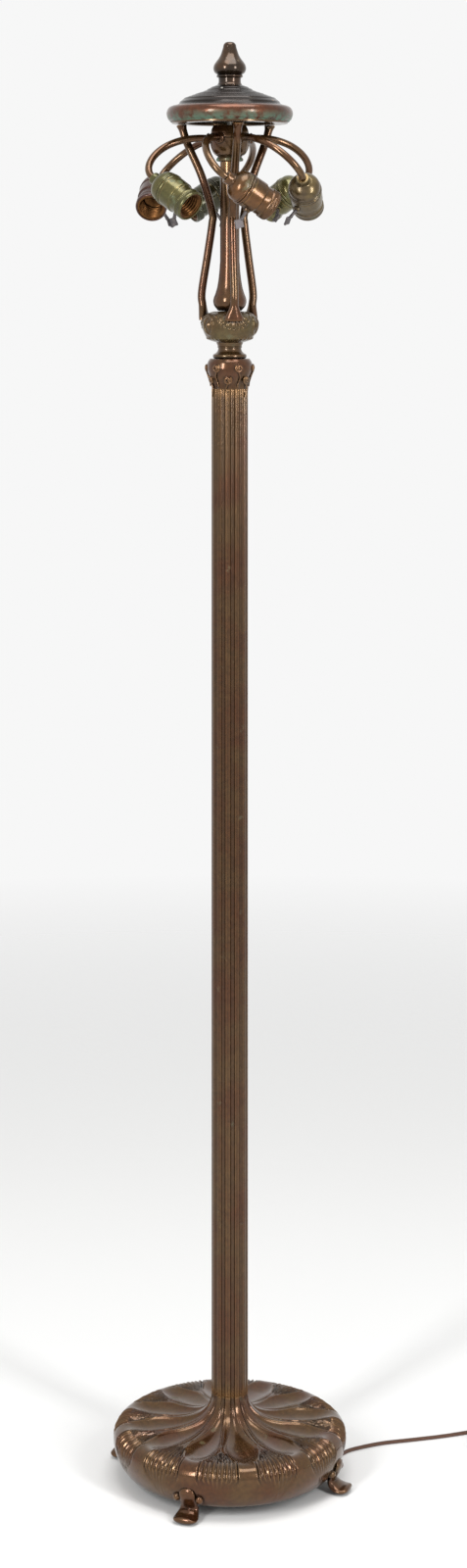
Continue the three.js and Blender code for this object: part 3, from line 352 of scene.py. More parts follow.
def braided_cloth(name, colour, dark, thread_mm):
    """Braided cotton over rubber: small crossing threads, dull with a little sheen."""
    material, tree, shader, place = fresh(name)
    waves = []
    for direction in ("X", "Y", "Z"):
        waves.append(put(tree, "ShaderNodeTexWave",
                         {"bands_direction": direction, "Scale": 0.314 / (thread_mm * MM),
                          "Distortion": 1.5}, {"Vector": place}).outputs["Fac"])
    woven = put(tree, "ShaderNodeMath", {"operation": "MULTIPLY"}, {0: waves[0], 1: waves[1]})
    woven = put(tree, "ShaderNodeMath", {"operation": "ADD"}, {0: woven.outputs[0], 1: waves[2]})
    threads = span(tree, woven.outputs[0], 0.2, 1.4)
    tree.links.new(blend(tree, threads, dark, colour), shader.inputs["Base Color"])
    shader.inputs["Roughness"].default_value = 0.85
    shader.inputs["Sheen Weight"].default_value = 0.25
    bump = put(tree, "ShaderNodeBump", {"Strength": 0.5, "Distance": 0.4 * MM}, {"Height": threads})
    tree.links.new(bump.outputs["Normal"], shader.inputs["Normal"])
    return material


def moulded(name, colour, light, roughness=0.32):
    """Moulded brown phenolic: glossy, with faint lighter clouds and small pits."""
    material, tree, shader, place = fresh(name)
    clouds = span(tree, speckle(tree, place, 9, 4), 0.45, 0.7, 0, 0.4)
    tree.links.new(blend(tree, clouds, colour, light), shader.inputs["Base Color"])
    tree.links.new(span(tree, speckle(tree, place, 2, 4), 0.3, 0.7, roughness, roughness + 0.15),
                   shader.inputs["Roughness"])
    bump = put(tree, "ShaderNodeBump", {"Strength": 0.06, "Distance": 0.3 * MM},
               {"Height": speckle(tree, place, 1.2, 4)})
    tree.links.new(bump.outputs["Normal"], shader.inputs["Normal"])
    return material


class LampSizes(bpy.types.PropertyGroup):
    """Depths of the relief and the fine details."""

    petal_depth: FloatProperty(
        name="Petal depth", description="Depth of the foot's petals at their deepest",
        default=6.0 * MM, unit="LENGTH")
    fan_rib_depth: FloatProperty(
        name="Fan rib depth", description="Depth of the grooves between the fans' ribs",
        default=2.2 * MM, unit="LENGTH")
    flute_depth: FloatProperty(
        name="Flute depth", description="Depth of the column's flutes",
        default=2.3 * MM, unit="LENGTH")
    dome_ridges: IntProperty(
        name="Dome ridges", description="Turned ridges on the heat cap's dome", default=8)
    thread_pitch: FloatProperty(
        name="Thread pitch", description="Pitch of the lamp sockets' screw threads",
        default=3.6 * MM, unit="LENGTH")
    braid: FloatProperty(
        name="Braid", description="Width of one thread group in the cord's braid, drawn coarse "
        "enough to show", default=1.4 * MM, unit="LENGTH")


class LampColours(bpy.types.PropertyGroup):
    """Colours of the finishes, as sRGB hex codes."""

    brown: StringProperty(name="Brown", description="Main patina", default="#5c4225")
    red: StringProperty(name="Red", description="Red clouds in the patina", default="#58351c")
    olive: StringProperty(name="Olive", description="Olive clouds on the pod", default="#5a4c2c")
    # Dark wax colour; the patina also darkens hollows towards it as painted shade
    wax_and_shade: StringProperty(name="Recess", description="Wax and dirt in hollows", default="#150d07")
    worn: StringProperty(name="Worn", description="Bronze rubbed bare", default="#b08656")
    verdigris: StringProperty(name="Verdigris", description="Green corrosion", default="#4a7560")
    dull_green: StringProperty(name="Dull green", description="Dull stains", default="#4f4a2a")
    dark: StringProperty(name="Dark", description="Near-black patina of the dome", default="#21160f")
    thread: StringProperty(name="Screw shell", description="Spun brass threads", default="#614122")
    grey: StringProperty(name="Key grey", description="Keys' dark grey", default="#4b4648")
    cloth: StringProperty(name="Cloth", description="Cord's braid", default="#6a4632")
    phenolic: StringProperty(name="Phenolic", description="Plug and bushing", default="#2e1a12")


def sizes():
    return bpy.context.scene.lamp_sizes


def colours():
    return bpy.context.scene.lamp_colours


FINISHES = {}


def finish(name):
    """The named material, made the first time that it is asked for."""
    if not FINISHES:
        c = colours()
        FINISHES["bronze"] = patina("waxed brown bronze", c.brown, c.red, c.wax_and_shade, c.worn,
                                    c.dull_green, 0.0, 0.2)
        FINISHES["foot"] = patina("cast red-brown bronze", c.brown, c.red, c.wax_and_shade, c.worn,
                                  c.dull_green, 0.0, 0.2)
        FINISHES["rod"] = patina("drawn brown bronze", c.brown, c.red, c.wax_and_shade, c.worn,
                                 c.dull_green, 0.0, 0.17)
        FINISHES["pod"] = patina("chased olive bronze", c.olive, c.brown, c.wax_and_shade, c.worn,
                                 c.dull_green, 0.04, 0.26)
        FINISHES["collar"] = patina("bronze under verdigris", c.olive, c.brown, c.wax_and_shade, c.worn,
                                    c.verdigris, 0.16, 0.36)
        FINISHES["dome"] = patina("near-black spun bronze", c.dark, c.wax_and_shade, c.wax_and_shade, c.worn,
                                  c.dull_green, -0.04, 0.24)
        FINISHES["finial"] = patina("dark turned bronze", "#553a22", "#33261a", c.wax_and_shade, c.worn,
                                    c.dull_green, 0.0, 0.18)
        foot, top = level("heat_cap")
        FINISHES["rim"] = patina("red-brown rim with verdigris", "#4c2e1d", "#60361f", c.wax_and_shade,
                                 c.worn, c.verdigris, 0.1, 0.26,
                                 green_heights=(foot + 1, foot + 13))
        FINISHES["iron"] = plain_metal("cast iron", "#3a3836", "#2a1d15", 0.7, 2.0, 0.5, 0.5)
        FINISHES["steel"] = plain_metal("dull turned steel", "#85827c", "#54483c", 0.35, 2.0)
        FINISHES["thread"] = plain_metal("spun brass threads", c.thread, "#4a2c14", 0.3, 2.0, 0.9)
        FINISHES["key"] = plain_metal("blackened keys", c.grey, "#6b6462", 0.42, 1.6, 0.55, 0.2)
        FINISHES["contact"] = plain_metal("brass contact", "#c79a52", "#6a4a28", 0.3, 1.0)
        FINISHES["cloth"] = braided_cloth("braided cotton", c.cloth, "#3a2419", sizes().braid / MM)
        FINISHES["phenolic"] = moulded("moulded phenolic", c.phenolic, "#4a2c1d")
    return FINISHES[name]


# Brown, second colour, stain and share of stain of each socket, in the arms' order
# Sockets 2 and 3, at the back, have much darker colours than the rest.
SOCKET_COLOURS = (
    ("#6a6238", "#66653a", "#4d5a34", 0.08),
    ("#3a3a22", "#34301e", "#2c3a24", 0.10),
    ("#45291f", "#4a2b22", "#3c3020", 0.02),
    ("#5e5830", "#4c4c2a", "#465030", 0.08),
    ("#66421f", "#4f371b", "#504a28", 0.06),
    ("#6a5930", "#5a4a34", "#4f5230", 0.06),
)


def socket_finish(i):
    """Spun brass of one socket, in its own colour from the table."""
    name = f"socket_{i}"
    if name not in FINISHES:
        first, second, stain, share = SOCKET_COLOURS[i]
        FINISHES[name] = patina(f"toned spun brass {i + 1}", first, second, colours().wax_and_shade,
                                "#b08a4c", stain, share, 0.26, 0.7)
    return FINISHES[name]


def foot_stations():
    """The foot's outline from the column out and down: (radius, height, normal, past the crest)."""
    flare = bezier(Vector((COLUMN_RADIUS, FOOT_HEIGHT)),
                   Vector((COLUMN_RADIUS, mix(DISH_HEIGHT, FOOT_HEIGHT, 0.3))),
                   Vector((mix(COLUMN_RADIUS, DISH_RADIUS, 0.42), DISH_HEIGHT)),
                   Vector((DISH_RADIUS, DISH_HEIGHT)), 26)
    dish = [Vector((mix(DISH_RADIUS, CREST_RADIUS, i / 18), mix(DISH_HEIGHT, CREST_HEIGHT, i / 18)))
            for i in range(1, 18)]
    shoulder = [Vector((CREST_RADIUS + (FOOT_RADIUS - CREST_RADIUS) * math.sin(a),
                        WIDEST_HEIGHT + (CREST_HEIGHT - WIDEST_HEIGHT) * math.cos(a)))
                for a in (math.radians(90 * i / 14) for i in range(15))]
    low = Vector((FOOT_RADIUS, mix(SKIRT_HEIGHT, WIDEST_HEIGHT, 0.4)))
    skirt = []
    for i in range(1, 15):
        t = i / 14
        skirt.append(shoulder[-1] * (1 - t) ** 2 + low * (2 * t * (1 - t))
                     + Vector((SKIRT_RADIUS, SKIRT_HEIGHT)) * t * t)
    line = flare + dish + shoulder + skirt
    crest = len(flare) + len(dish)
    stations = []
    for i, point in enumerate(line):
        along = (line[min(len(line) - 1, i + 1)] - line[max(0, i - 1)]).normalized()
        stations.append((point.x, point.y, (-along.y, along.x), i > crest))
    return stations


def petal_spread(radius):
    if radius < FAN_START_RADIUS:
        grown = (radius - COLUMN_RADIUS) / (FAN_START_RADIUS - COLUMN_RADIUS)
        return mix(FLUTE_SPREAD, PETAL_SPREAD, smooth(grown))
    past = (radius - FAN_START_RADIUS) / (PETAL_TIP_RADIUS - FAN_START_RADIUS)
    return mix(PETAL_SPREAD, PETAL_TIP_SPREAD, smooth(past))


def foot_relief(turn, radius, height, past_crest):
    """How far the foot's surface lies below its outline, in millimetres, at an angle in degrees."""
    petal, rib = sizes().petal_depth / MM, sizes().fan_rib_depth / MM
    flute = sizes().flute_depth / MM
    half = 180 / SECTORS
    apart = abs((turn + half) % (2 * half) - half)
    spread = petal_spread(radius if height >= WIDEST_HEIGHT else FOOT_RADIUS)
    sink = 0.0
    if height >= WIDEST_HEIGHT:
        grown = smooth((radius - COLUMN_RADIUS) / (PETAL_DEEPEST_RADIUS - COLUMN_RADIUS))
        ending = smooth((radius - PETAL_DEEPEST_RADIUS) / (PETAL_TIP_RADIUS - PETAL_DEEPEST_RADIUS))
        depth = mix(flute, petal, grown) * (1 - ending)
        u = apart / spread
        if u < 1:
            sink += depth * (1 - u * u) ** 0.8
        edge = (apart - spread) * math.radians(radius)
        sink -= 0.75 * smooth((radius - 40) / 30) * (1 - ending) * hump(edge - 0.7, 0.8)
        sink += 0.5 * smooth((radius - 30) / 20) * (1 - ending) * hump(edge - 2.0, 0.6)
    land = half - spread
    begins = smooth((radius - FAN_START_RADIUS) / (CREST_RADIUS - FAN_START_RADIUS - 8))
    if past_crest:
        fallen = (WIDEST_HEIGHT + 6 - height) / (WIDEST_HEIGHT - 18)
        land = mix(half - PETAL_TIP_SPREAD, 2.6, smooth(fallen))
        begins = mix(1.0, 0.18, smooth(fallen * 1.6)) * smooth((height - 22) / 6)
    v = (half - apart) / land
    if v < 1:
        grooves = 0.5 - 0.5 * math.cos(math.tau * 4.5 * v)
        sink += rib * begins * grooves ** 0.7
    return sink


# The stage, in metres: the floor fades into the pale world all round
FLOOR_RADIUS = 3.4
FLOOR_FADE_START = 1.2
WORLD_LIGHT = 0.5
WORLD_SEEN = 0.93


class LAMP_OT_stage(bpy.types.Operator):
    """Pale floor that fades into a pale world, soft studio lamps and the camera"""

    bl_idname = "lamp.stage"
    bl_label = "Stage"

    def execute(self, context):
        scene = context.scene
        turn = Matrix.Rotation(math.radians(ARM_START), 4, "Z")
        data = bpy.data.cameras.new("camera")
        data.lens = 64.4
        data.shift_x = 0.0024
        data.shift_y = -0.3296
        camera = bpy.data.objects.new("camera", data)
        camera.location = turn @ Vector((0, -3.448, 1.483))
        camera.rotation_euler = (math.radians(90), 0, math.radians(ARM_START))
        scene.collection.objects.link(camera)
        scene.camera = camera
        rim = [math.tau * i / 96 for i in range(96)]
        mesh = bpy.data.meshes.new("floor")
        mesh.from_pydata([(FLOOR_RADIUS * math.cos(a), FLOOR_RADIUS * math.sin(a), 0) for a in rim],
                         [], [tuple(range(96))])
        floor = bpy.data.objects.new("floor", mesh)
        scene.collection.objects.link(floor)
        paper, tree, shader, place = fresh("matt white paper")
        shader.inputs["Base Color"].default_value = linear("#f4f4f3")
        shader.inputs["Roughness"].default_value = 0.9
        shader.inputs["Specular IOR Level"].default_value = 0.1
        from_middle = put(tree, "ShaderNodeVectorMath", {"operation": "LENGTH"}, {0: place})
        solid = span(tree, from_middle.outputs["Value"], FLOOR_FADE_START, FLOOR_RADIUS, 1.0, 0.0)
        clear = put(tree, "ShaderNodeBsdfTransparent").outputs[0]
        faded = put(tree, "ShaderNodeMixShader", None,
                    {0: solid, 1: clear, 2: shader.outputs[0]}).outputs[0]
        tree.links.new(faded, tree.nodes["Material Output"].inputs["Surface"])
        mesh.materials.append(paper)
        world = bpy.data.worlds.new("studio")
        world.use_nodes = True
        tree = world.node_tree
        background = tree.nodes["Background"]
        background.inputs["Color"].default_value = (1, 1, 1, 1)
        rays = put(tree, "ShaderNodeLightPath").outputs
        seen = rays["Is Camera Ray"]
        for bent in ("Is Glossy Ray", "Is Transmission Ray"):
            seen = put(tree, "ShaderNodeMath", {"operation": "MAXIMUM"},
                       {0: seen, 1: rays[bent]}).outputs[0]
        tree.links.new(span(tree, seen, 0, 1, WORLD_LIGHT, WORLD_SEEN), background.inputs["Strength"])
        scene.world = world
        for name, place, size, power in (
                ("left_softbox", (-1.7, -2.4, 2.0), (0.4, 1.6), 54),
                ("right_softbox", (1.9, -2.2, 1.8), (0.4, 1.6), 47),
                ("top_softbox", (0.2, -0.6, 3.4), (1.8, 1.4), 44)):
            light = bpy.data.lights.new(name, "AREA")
            light.shape = "RECTANGLE"
            light.size, light.size_y = size
            light.energy = power
            lamp = bpy.data.objects.new(name, light)
            lamp.location = turn @ Vector(place)
            aim = turn @ Vector((0, 0, 0.9)) - lamp.location
            lamp.rotation_euler = aim.to_track_quat("-Z", "Y").to_euler()
            scene.collection.objects.link(lamp)
        scene.view_settings.view_transform = "Standard"
        return {"FINISHED"}


# The cord's route on the floor, repeated from the solids
CORD_ROUTE = (
    (0, 0, 27.6), (0, 0, 21.6), (3.5, 1.2, 10.5), (13, 4.8, 3.8), (27, 10.2, CORD_REST),
    (60, 24, CORD_REST), (88, 40, CORD_REST), (104, 58, CORD_REST), (110.5, 76, CORD_REST),
    (111, 92, CORD_REST), (115.5, 108, CORD_REST), (125, 122, CORD_REST), (149, 147, CORD_REST),
    (182, 171, CORD_REST), (217, 197, CORD_REST), (250, 226, CORD_REST), (282, 254.5, CORD_REST),
)
COIL_TURNS = 8.5
COIL_LAYERS = 4
COIL_PITCH = 5.0
COIL_RADIUS = 27.0
COIL_STEPS = 24
COIL_TAIL = 26.0


def coil_path():
    """The coil's turns, the loose tail and the tail's direction."""
    a, b = Vector(CORD_ROUTE[-2][:2]), Vector(CORD_ROUTE[-1][:2])
    heading = (b - a).normalized()
    entry = b + heading * (0.3 + 4 * CORD_RADIUS)
    inward = COIL_TURNS / COIL_LAYERS
    outer = COIL_RADIUS + inward * COIL_PITCH / 2
    side = Vector((heading.y, -heading.x))
    centre = entry + side * outer
    first = math.atan2(-side.y, -side.x)
    points = []
    for i in range(int(COIL_TURNS * COIL_STEPS) + 1):
        turns = i / COIL_STEPS
        phase = (turns / inward) % 2
        wave = phase if phase <= 1 else 2 - phase
        radius = outer - wave * inward * COIL_PITCH
        layer = sum(smooth((turns - step * inward) * 2 + 0.5) for step in range(1, COIL_LAYERS))
        angle = first - turns * math.tau
        points.append(Vector((centre.x + radius * math.cos(angle),
                              centre.y + radius * math.sin(angle), CORD_REST + layer * COIL_PITCH)))
    angle = first - COIL_TURNS * math.tau
    last = Vector((math.sin(angle), -math.cos(angle), 0))
    points += [points[-1] + last * (COIL_TAIL * k / 4) for k in range(1, 5)]
    return points, last


class LAMP_OT_cord(bpy.types.Operator):
    """Cloth cord over the floor, its coil and the two-pin plug"""

    bl_idname = "lamp.cord"
    bl_label = "Cord and plug"

    def execute(self, context):
        coil, last = coil_path()
        path = curve_points(CORD_ROUTE, 6) + coil
        cord = sweep("cord", path, lambda t: (CORD_RADIUS, CORD_RADIUS), 14)
        dress(cord, "stand", "brown_cloth", finish("cloth"), "cord_run", "cord_coil")
        place = Matrix.Translation(path[-1] * MM) @ last.to_track_quat("Z", "Y").to_matrix().to_4x4()
        outline = flowing([(0, 0.3, 1), (4.3, 0.3, 1), (4.6, 6), (5, 11), (8.5, 16), (15, 24.5),
                           (16.9, 29), (17.1, 33), (16.4, 35.5), (14.5, 36, 1), (0, 36, 1)], 6)

        def grip(angle, radius, height):
            flat = 0.55 * smooth((height - 8) / 6) * smooth((25 - height) / 6)
            return radius - flat * (0.5 - 0.5 * math.cos(angle * 16)), height

        plug = revolve("plug_body", outline, 96, warp=grip, place=place)
        dress(plug, "stand", "brown_plastic", finish("phenolic"), "plug")
        for i, offset in enumerate((-6.35, 6.35)):
            corners = [(offset + x, y, z) for z in (35.0, 50.5, 52.0)
                       for x, y in ((-0.75, -3.2), (0.75, -3.2), (0.75, 3.2), (-0.75, 3.2))]
            for k in range(8, 12):
                x, y, z = corners[k]
                corners[k] = (offset + (x - offset) * 0.6, y * 0.75, z)
            faces = [(0, 1, 2, 3), (8, 9, 10, 11)]
            faces += [(low + k, low + (k + 1) % 4, low + 4 + (k + 1) % 4, low + 4 + k)
                      for low in (0, 4) for k in range(4)]
            blade = piece(f"plug_blade_{i + 1}", corners, faces, place, 25)
            dress(blade, "stand", "steel", finish("steel"))
        return {"FINISHED"}


class LAMP_OT_foot(bpy.types.Operator):
    """Cast foot with petals, fans and a rolled rim, and its four slipper feet"""

    bl_idname = "lamp.foot"
    bl_label = "Cast foot"

    def execute(self, context):
        stations = foot_stations()
        lookup = {(radius, height): (normal, past) for radius, height, normal, past in stations}

        def relief(angle, radius, height):
            if (radius, height) not in lookup:
                return radius, height
            normal, past = lookup[(radius, height)]
            sink = foot_relief(math.degrees(angle), radius, height, past)
            return radius - sink * normal[0], height - sink * normal[1]

        outline = [(radius, height) for radius, height, _, _ in stations]
        outline += [(127.5, 16.0), (126.5, 16.6), (132.7, 29.3), (137.4, 43.3), (122.0, 55.0),
                    (60.0, 55.0), (6.8, 55.0), (6.8, 102.0)]
        shell = revolve("cast_foot", outline, SECTORS * 60, closed=True, warp=relief, corner=60)
        dress(shell, "stand", "bronze", finish("foot"), "base_shell")
        for i in range(4):
            self.slipper(i)
        return {"FINISHED"}

    def slipper(self, i):
        turn = Matrix.Rotation(math.radians(90 * i), 4, "Z")
        stations = [(140.6, 39.6, 1.6, 4.0), (141.6, 37.6, 2.6, 7.6), (142.6, 34.4, 3.2, 9.6),
                    (141.0, 29.6, 3.9, 10.4), (138.0, 24.6, 4.4, 10.6), (134.6, 19.4, 4.9, 10.8),
                    (132.8, 14.8, 5.6, 11.2), (134.0, 10.6, 6.6, 12.2), (137.6, 7.2, 7.0, 13.6),
                    (142.0, 5.4, 5.5, 15.0), (147.0, 4.7, 4.8, 15.5), (151.4, 5.4, 4.5, 14.2),
                    (154.4, 6.6, 3.8, 11.8), (155.8, 7.6, 2.2, 7.6)]
        vertices, faces = [], []
        sides = 28
        for k, (x, z, thick, wide) in enumerate(stations):
            before, after = stations[max(0, k - 1)], stations[min(len(stations) - 1, k + 1)]
            along = Vector((after[0] - before[0], after[1] - before[1])).normalized()
            for s in range(sides):
                angle = math.tau * s / sides
                out = thick * math.sin(angle)
                vertices.append((min(156.0, x - along.y * out), wide * math.cos(angle),
                                 max(0.02, z + along.x * out)))
        for k in range(len(stations) - 1):
            for s in range(sides):
                n = (s + 1) % sides
                low = k * sides
                faces.append((low + s, low + n, low + sides + n, low + sides + s))
        faces += [tuple(range(sides)), tuple(range(len(vertices) - sides, len(vertices)))]
        foot = piece(f"slipper_{i + 1}", vertices, faces, turn, 70)
        smoother = foot.modifiers.new("smooth", "SUBSURF")
        smoother.levels = smoother.render_levels = 1
        dress(foot, "stand", "bronze", finish("foot"), f"foot_{i + 1}")
        for name, side in (("left", -1), ("right", 1)):
            outline = [(5 * math.sin(math.radians(a)), -5 * math.cos(math.radians(a)))
                       for a in range(0, 181, 12)]
            outline[0], outline[-1] = (0, -5), (0, 5)
            place = turn @ Matrix.Translation(Vector((137.4, side * 14.2, 26.4)) * MM)
            ball = revolve(f"slipper_ball_{i + 1}_{name}", outline, 24, place=place)
            dress(ball, "stand", "bronze", finish("foot"))


class LAMP_OT_column(bpy.types.Operator):
    """Fluted column, and the capital with its scrolls"""

    bl_idname = "lamp.column"
    bl_label = "Column and capital"

    def execute(self, context):
        foot, top = level("column")

        def flute(angle, radius, height):
            if radius < COLUMN_RADIUS:
                return radius, height
            half = 180 / SECTORS
            apart = abs((math.degrees(angle) + half) % (2 * half) - half)
            u = apart / FLUTE_SPREAD
            if u < 1:
                return radius - sizes().flute_depth / MM * (1 - u * u) ** 0.6, height
            v = (half - apart) / (half - FLUTE_SPREAD)
            return radius + 0.25 * (1 - v * v) - 0.7 * hump(v, 0.2), height

        outline = [(COLUMN_RADIUS, mix(foot, top, k / 90)) for k in range(91)]
        outline += [(COLUMN_BORE, top), (COLUMN_BORE, foot)]
        column = revolve("fluted_column", outline, SECTORS * 36, closed=True, warp=flute, corner=60)
        dress(column, "stand", "bronze", finish("bronze"), "column")
        self.capital(context)
        return {"FINISHED"}

    def capital(self, context):
        foot, top = level("capital")
        high = top - foot
        line = [(COLUMN_RADIUS, 0), (COLUMN_RADIUS + 0.9, 0.2), (25.4, 0.4), (27.4, 0.58),
                (28.0, 0.7), (27.1, 0.88), (24.4, 1.0)]
        outline = flowing([(r, foot + s * high) for r, s in line], 8)

        def ribs(angle, radius, height):
            if radius < 10:
                return radius, height
            rising = (height - foot) / high
            groove = 0.5 + 0.5 * math.cos(angle * SECTORS)
            radius -= 1.7 * groove * (1 - smooth(rising * 1.8))
            for scroll in range(SECTORS):
                centre = math.tau * (scroll + 0.5) / SECTORS
                apart = (angle - centre + 3 * math.pi) % math.tau - math.pi
                middle = foot + high * (0.7 if scroll % 2 == 0 else 0.3)
                distance = math.hypot(apart * radius, height - middle)
                radius += 0.9 * smooth(2 - 2 * distance / 6.2)
            return radius, height

        body = outline + [(20.0, top), (6.8, top), (6.8, foot)]
        block = revolve("capital_block", body, SECTORS * 24, closed=True, warp=ribs, corner=60)
        dress(block, "stand", "bronze", finish("bronze"), "capital")

        def surface(height):
            share = min(1.0, max(0.0, (height - foot) / high))
            for (r0, s0), (r1, s1) in zip(line, line[1:]):
                if s0 <= share <= s1:
                    return mix(r0, r1, (share - s0) / (s1 - s0))
            return COLUMN_RADIUS

        for scroll in range(SECTORS):
            upper = scroll % 2 == 0
            centre = math.tau * (scroll + 0.5) / SECTORS
            middle = foot + high * (0.7 if upper else 0.3)
            flip = 1 if (scroll // 2) % 2 == 0 else -1
            spots = []
            for k in range(30):
                t = k / 29
                turn = math.radians(400 - 460 * (1 - t))
                grow = mix(0.9, 5.0, t)
                spots.append((grow * math.cos(turn), grow * math.sin(turn)))
            x, y = spots[-1]
            fall = 26 if upper else 24
            for k in range(1, 25):
                t = k / 24
                spots.append((mix(x, 0, smooth(t * 1.5)) - 2.4 * math.sin(math.pi * t) ** 2,
                              y - fall * t))
            path = []
            for across, rise in spots:
                height = middle + rise
                radius = surface(height) + 1.0
                angle = centre + flip * across / radius
                path.append(Vector((radius * math.cos(angle), radius * math.sin(angle), height)))
            tendril = sweep(f"scroll_{scroll + 1}", path,
                            lambda t: (mix(1.9, 0.8, smooth(t * 1.2 - 0.2)),) * 2, 12, domed=True)
            dress(tendril, "stand", "bronze", finish("bronze"))


class LAMP_OT_pod(bpy.types.Operator):
    """Collar with its bead, chased pod and turned stem"""

    bl_idname = "lamp.pod"
    bl_label = "Collar, pod and stem"

    def execute(self, context):
        foot, top = level("neck_collar")
        line = [(6.8, 0, 1), (19.2, 0, 1), (20.5, 1.2), (20.8, 3), (20.3, 4.8), (18.4, 6.0, 1),
                (17.4, 6.4, 1), (15.4, 8.6), (14.4, 11.2), (14.3, 13.0, 1), (15.0, 13.4), (15.2, 14.2),
                (14.8, 15.0, 1), (15.4, 16.6), (16.6, 19.4, 1), (6.8, 19.4, 1)]
        collar = revolve("neck", flowing([(p[0], foot + p[1]) + p[2:] for p in line], 5), 96, True)
        dress(collar, "stand", "bronze", finish("pod"), "neck_collar")
        self.pod()
        foot, top = level("inner_stem")
        line = [(6.8, 0, 1), (14.4, 0, 1), (16.8, 2.6), (19.4, 6.4), (20.5, 11.4), (19.8, 16),
                (17.6, 22), (15.4, 30), (13.6, 42), (12.4, 56), (11.9, 74), (11.8, top - foot, 1),
                (6.8, top - foot, 1)]
        stem = revolve("turned_stem", flowing([(p[0], foot + p[1]) + p[2:] for p in line], 6), 96, True)
        dress(stem, "stand", "bronze", finish("bronze"), "inner_stem")
        return {"FINISHED"}

    def pod(self):
        foot, top = level("pod")
        high = top - foot
        line = [(16.6, 0), (26.3, 0.09), (30.6, 0.25), (33.5, 0.44), (34.4, 0.62), (32.6, 0.77),
                (28.0, 0.9), (19.9, 0.985)]
        outline = flowing([(r, foot + s * high) for r, s in line], 12)

        def chased(angle, radius, height):
            if radius < 15 or height > foot + 0.985 * high:
                return radius, height
            rise = 0.0
            below = foot + 0.93 * high - height
            for rod in range(ROD_COUNT):
                centre = math.radians(ROD_START + 360 * rod / ROD_COUNT)
                apart = (angle - centre + 3 * math.pi) % math.tau - math.pi
                across = apart * radius
                reach = math.hypot(across, below * 1.15)
                fan = math.atan2(across, max(0.01, below))
                inside = smooth((21.0 - reach) / 2.0)
                ribs = 0.5 + 0.5 * math.cos(fan * 15)
                rise += inside * (0.6 + 1.0 * ribs * smooth((reach - 3) / 6))
                beads = 0.5 + 0.5 * math.cos(fan * 22)
                rise += 1.3 * beads * hump(reach - 23.2, 1.5) * smooth((below + 2) / 4)
                middle = math.radians(60) - abs(apart)
                eye = math.hypot(middle * radius / 7.5, (below - 15) / 11)
                rise += 0.9 * hump(eye - 1.0, 0.16) + 1.4 * hump(eye, 0.45)
            row = 0.5 + 0.5 * math.cos(angle * 30)
            rise += 1.1 * row * hump(height - (foot + 4.6), 1.3)
            return radius + rise, height

        body = outline + [(6.8, top), (6.8, foot)]
        pod = revolve("chased_pod", body, 540, closed=True, warp=chased, corner=60)
        dress(pod, "stand", "green_bronze", finish("pod"), "pod")


class LAMP_OT_hub(bpy.types.Operator):
    """Hub of the arms: collar, lower and upper halves"""

    bl_idname = "lamp.hub"
    bl_label = "Hub"

    def execute(self, context):
        for name, slot, look, node, line in (
                ("hub_ring", "green_bronze", "collar", "hub_collar",
                 [(6.8, 0, 1), (13.2, 0, 1), (16.1, 0.8), (16.6, 2.2), (16.4, 3.8, 1), (15.6, 4.4, 1),
                  (15.0, 5.8, 1), (6.8, 5.8, 1)]),
                ("hub_bowl", "brown_bronze", "bronze", "hub_lower",
                 [(6.8, 0, 1), (14.5, 0, 1), (18.6, 2.6), (21.4, 6.6), (23.4, 12), (24.5, 18.4, 1),
                  (24.9, 19.0), (24.9, 22.2), (24.4, 23, 1), (6.8, 23, 1)]),
                ("hub_crown", "brown_bronze", "bronze", "hub_upper",
                 [(0, 0, 1), (24.6, 0, 1), (25.0, 1.0), (24.4, 4.8, 1), (23.6, 5.4, 1), (22.9, 9.0),
                  (21.4, 12.6), (20.0, 15, 1), (3.5, 15, 1), (3.5, 2.7, 1), (0, 2.7, 1)])):
            foot, _ = level(node)
            points = flowing([(p[0], foot + p[1]) + p[2:] for p in line], 5)
            hub = revolve(name, points, 96, closed=node != "hub_upper")
            dress(hub, "stand", slot, finish(look), node)
        return {"FINISHED"}


class LAMP_OT_harp(bpy.types.Operator):
    """Harp rods, and the ring that carries a shade"""

    bl_idname = "lamp.harp"
    bl_label = "Harp and shade ring"

    def execute(self, context):
        pod_top = level("pod")[1]
        ring_foot, ring_top = level("shade_ring")
        foot, top = pod_top - 11, ring_foot - 0.3
        shape = [(33.5, 0), (35.9, 0.075), (36.8, 0.145), (29.3, 0.33), (23.2, 0.49), (23.2, 0.55),
                 (37.1, 0.735), (55.8, 0.9), (64.0, 1.0)]
        line = curve_points([(r, 0, foot + s * (top - foot)) for r, s in shape], 9)

        def thick(t):
            up, down = smooth((t - 0.93) / 0.07) ** 2, smooth((0.14 - t) / 0.13)
            return 5 + 0.6 * down + 1.6 * up, 5 + 6.4 * down + 2.4 * up

        for i in range(ROD_COUNT):
            turn = Matrix.Rotation(math.radians(ROD_START + 120 * i), 4, "Z")
            rod = sweep(f"rod_{i + 1}", line, thick, 28, turn)
            for vertex in rod.data.vertices:
                vertex.co.z = min(top * MM, vertex.co.z)
            dress(rod, "stand", "brown_bronze", finish("rod"), f"harp_rod_{i + 1}")
        edge = 0.5
        outline = [(54 + edge, ring_foot), (71.5 - edge, ring_foot), (71.5, ring_foot + edge),
                   (71.5, ring_top - edge), (71.5 - edge, ring_top), (54 + edge, ring_top),
                   (54, ring_top - edge), (54, ring_foot + edge)]
        ring = revolve("shade_seat", outline, 160, closed=True)
        dress(ring, "stand", "dark_bronze", finish("dome"), "shade_ring")
        return {"FINISHED"}


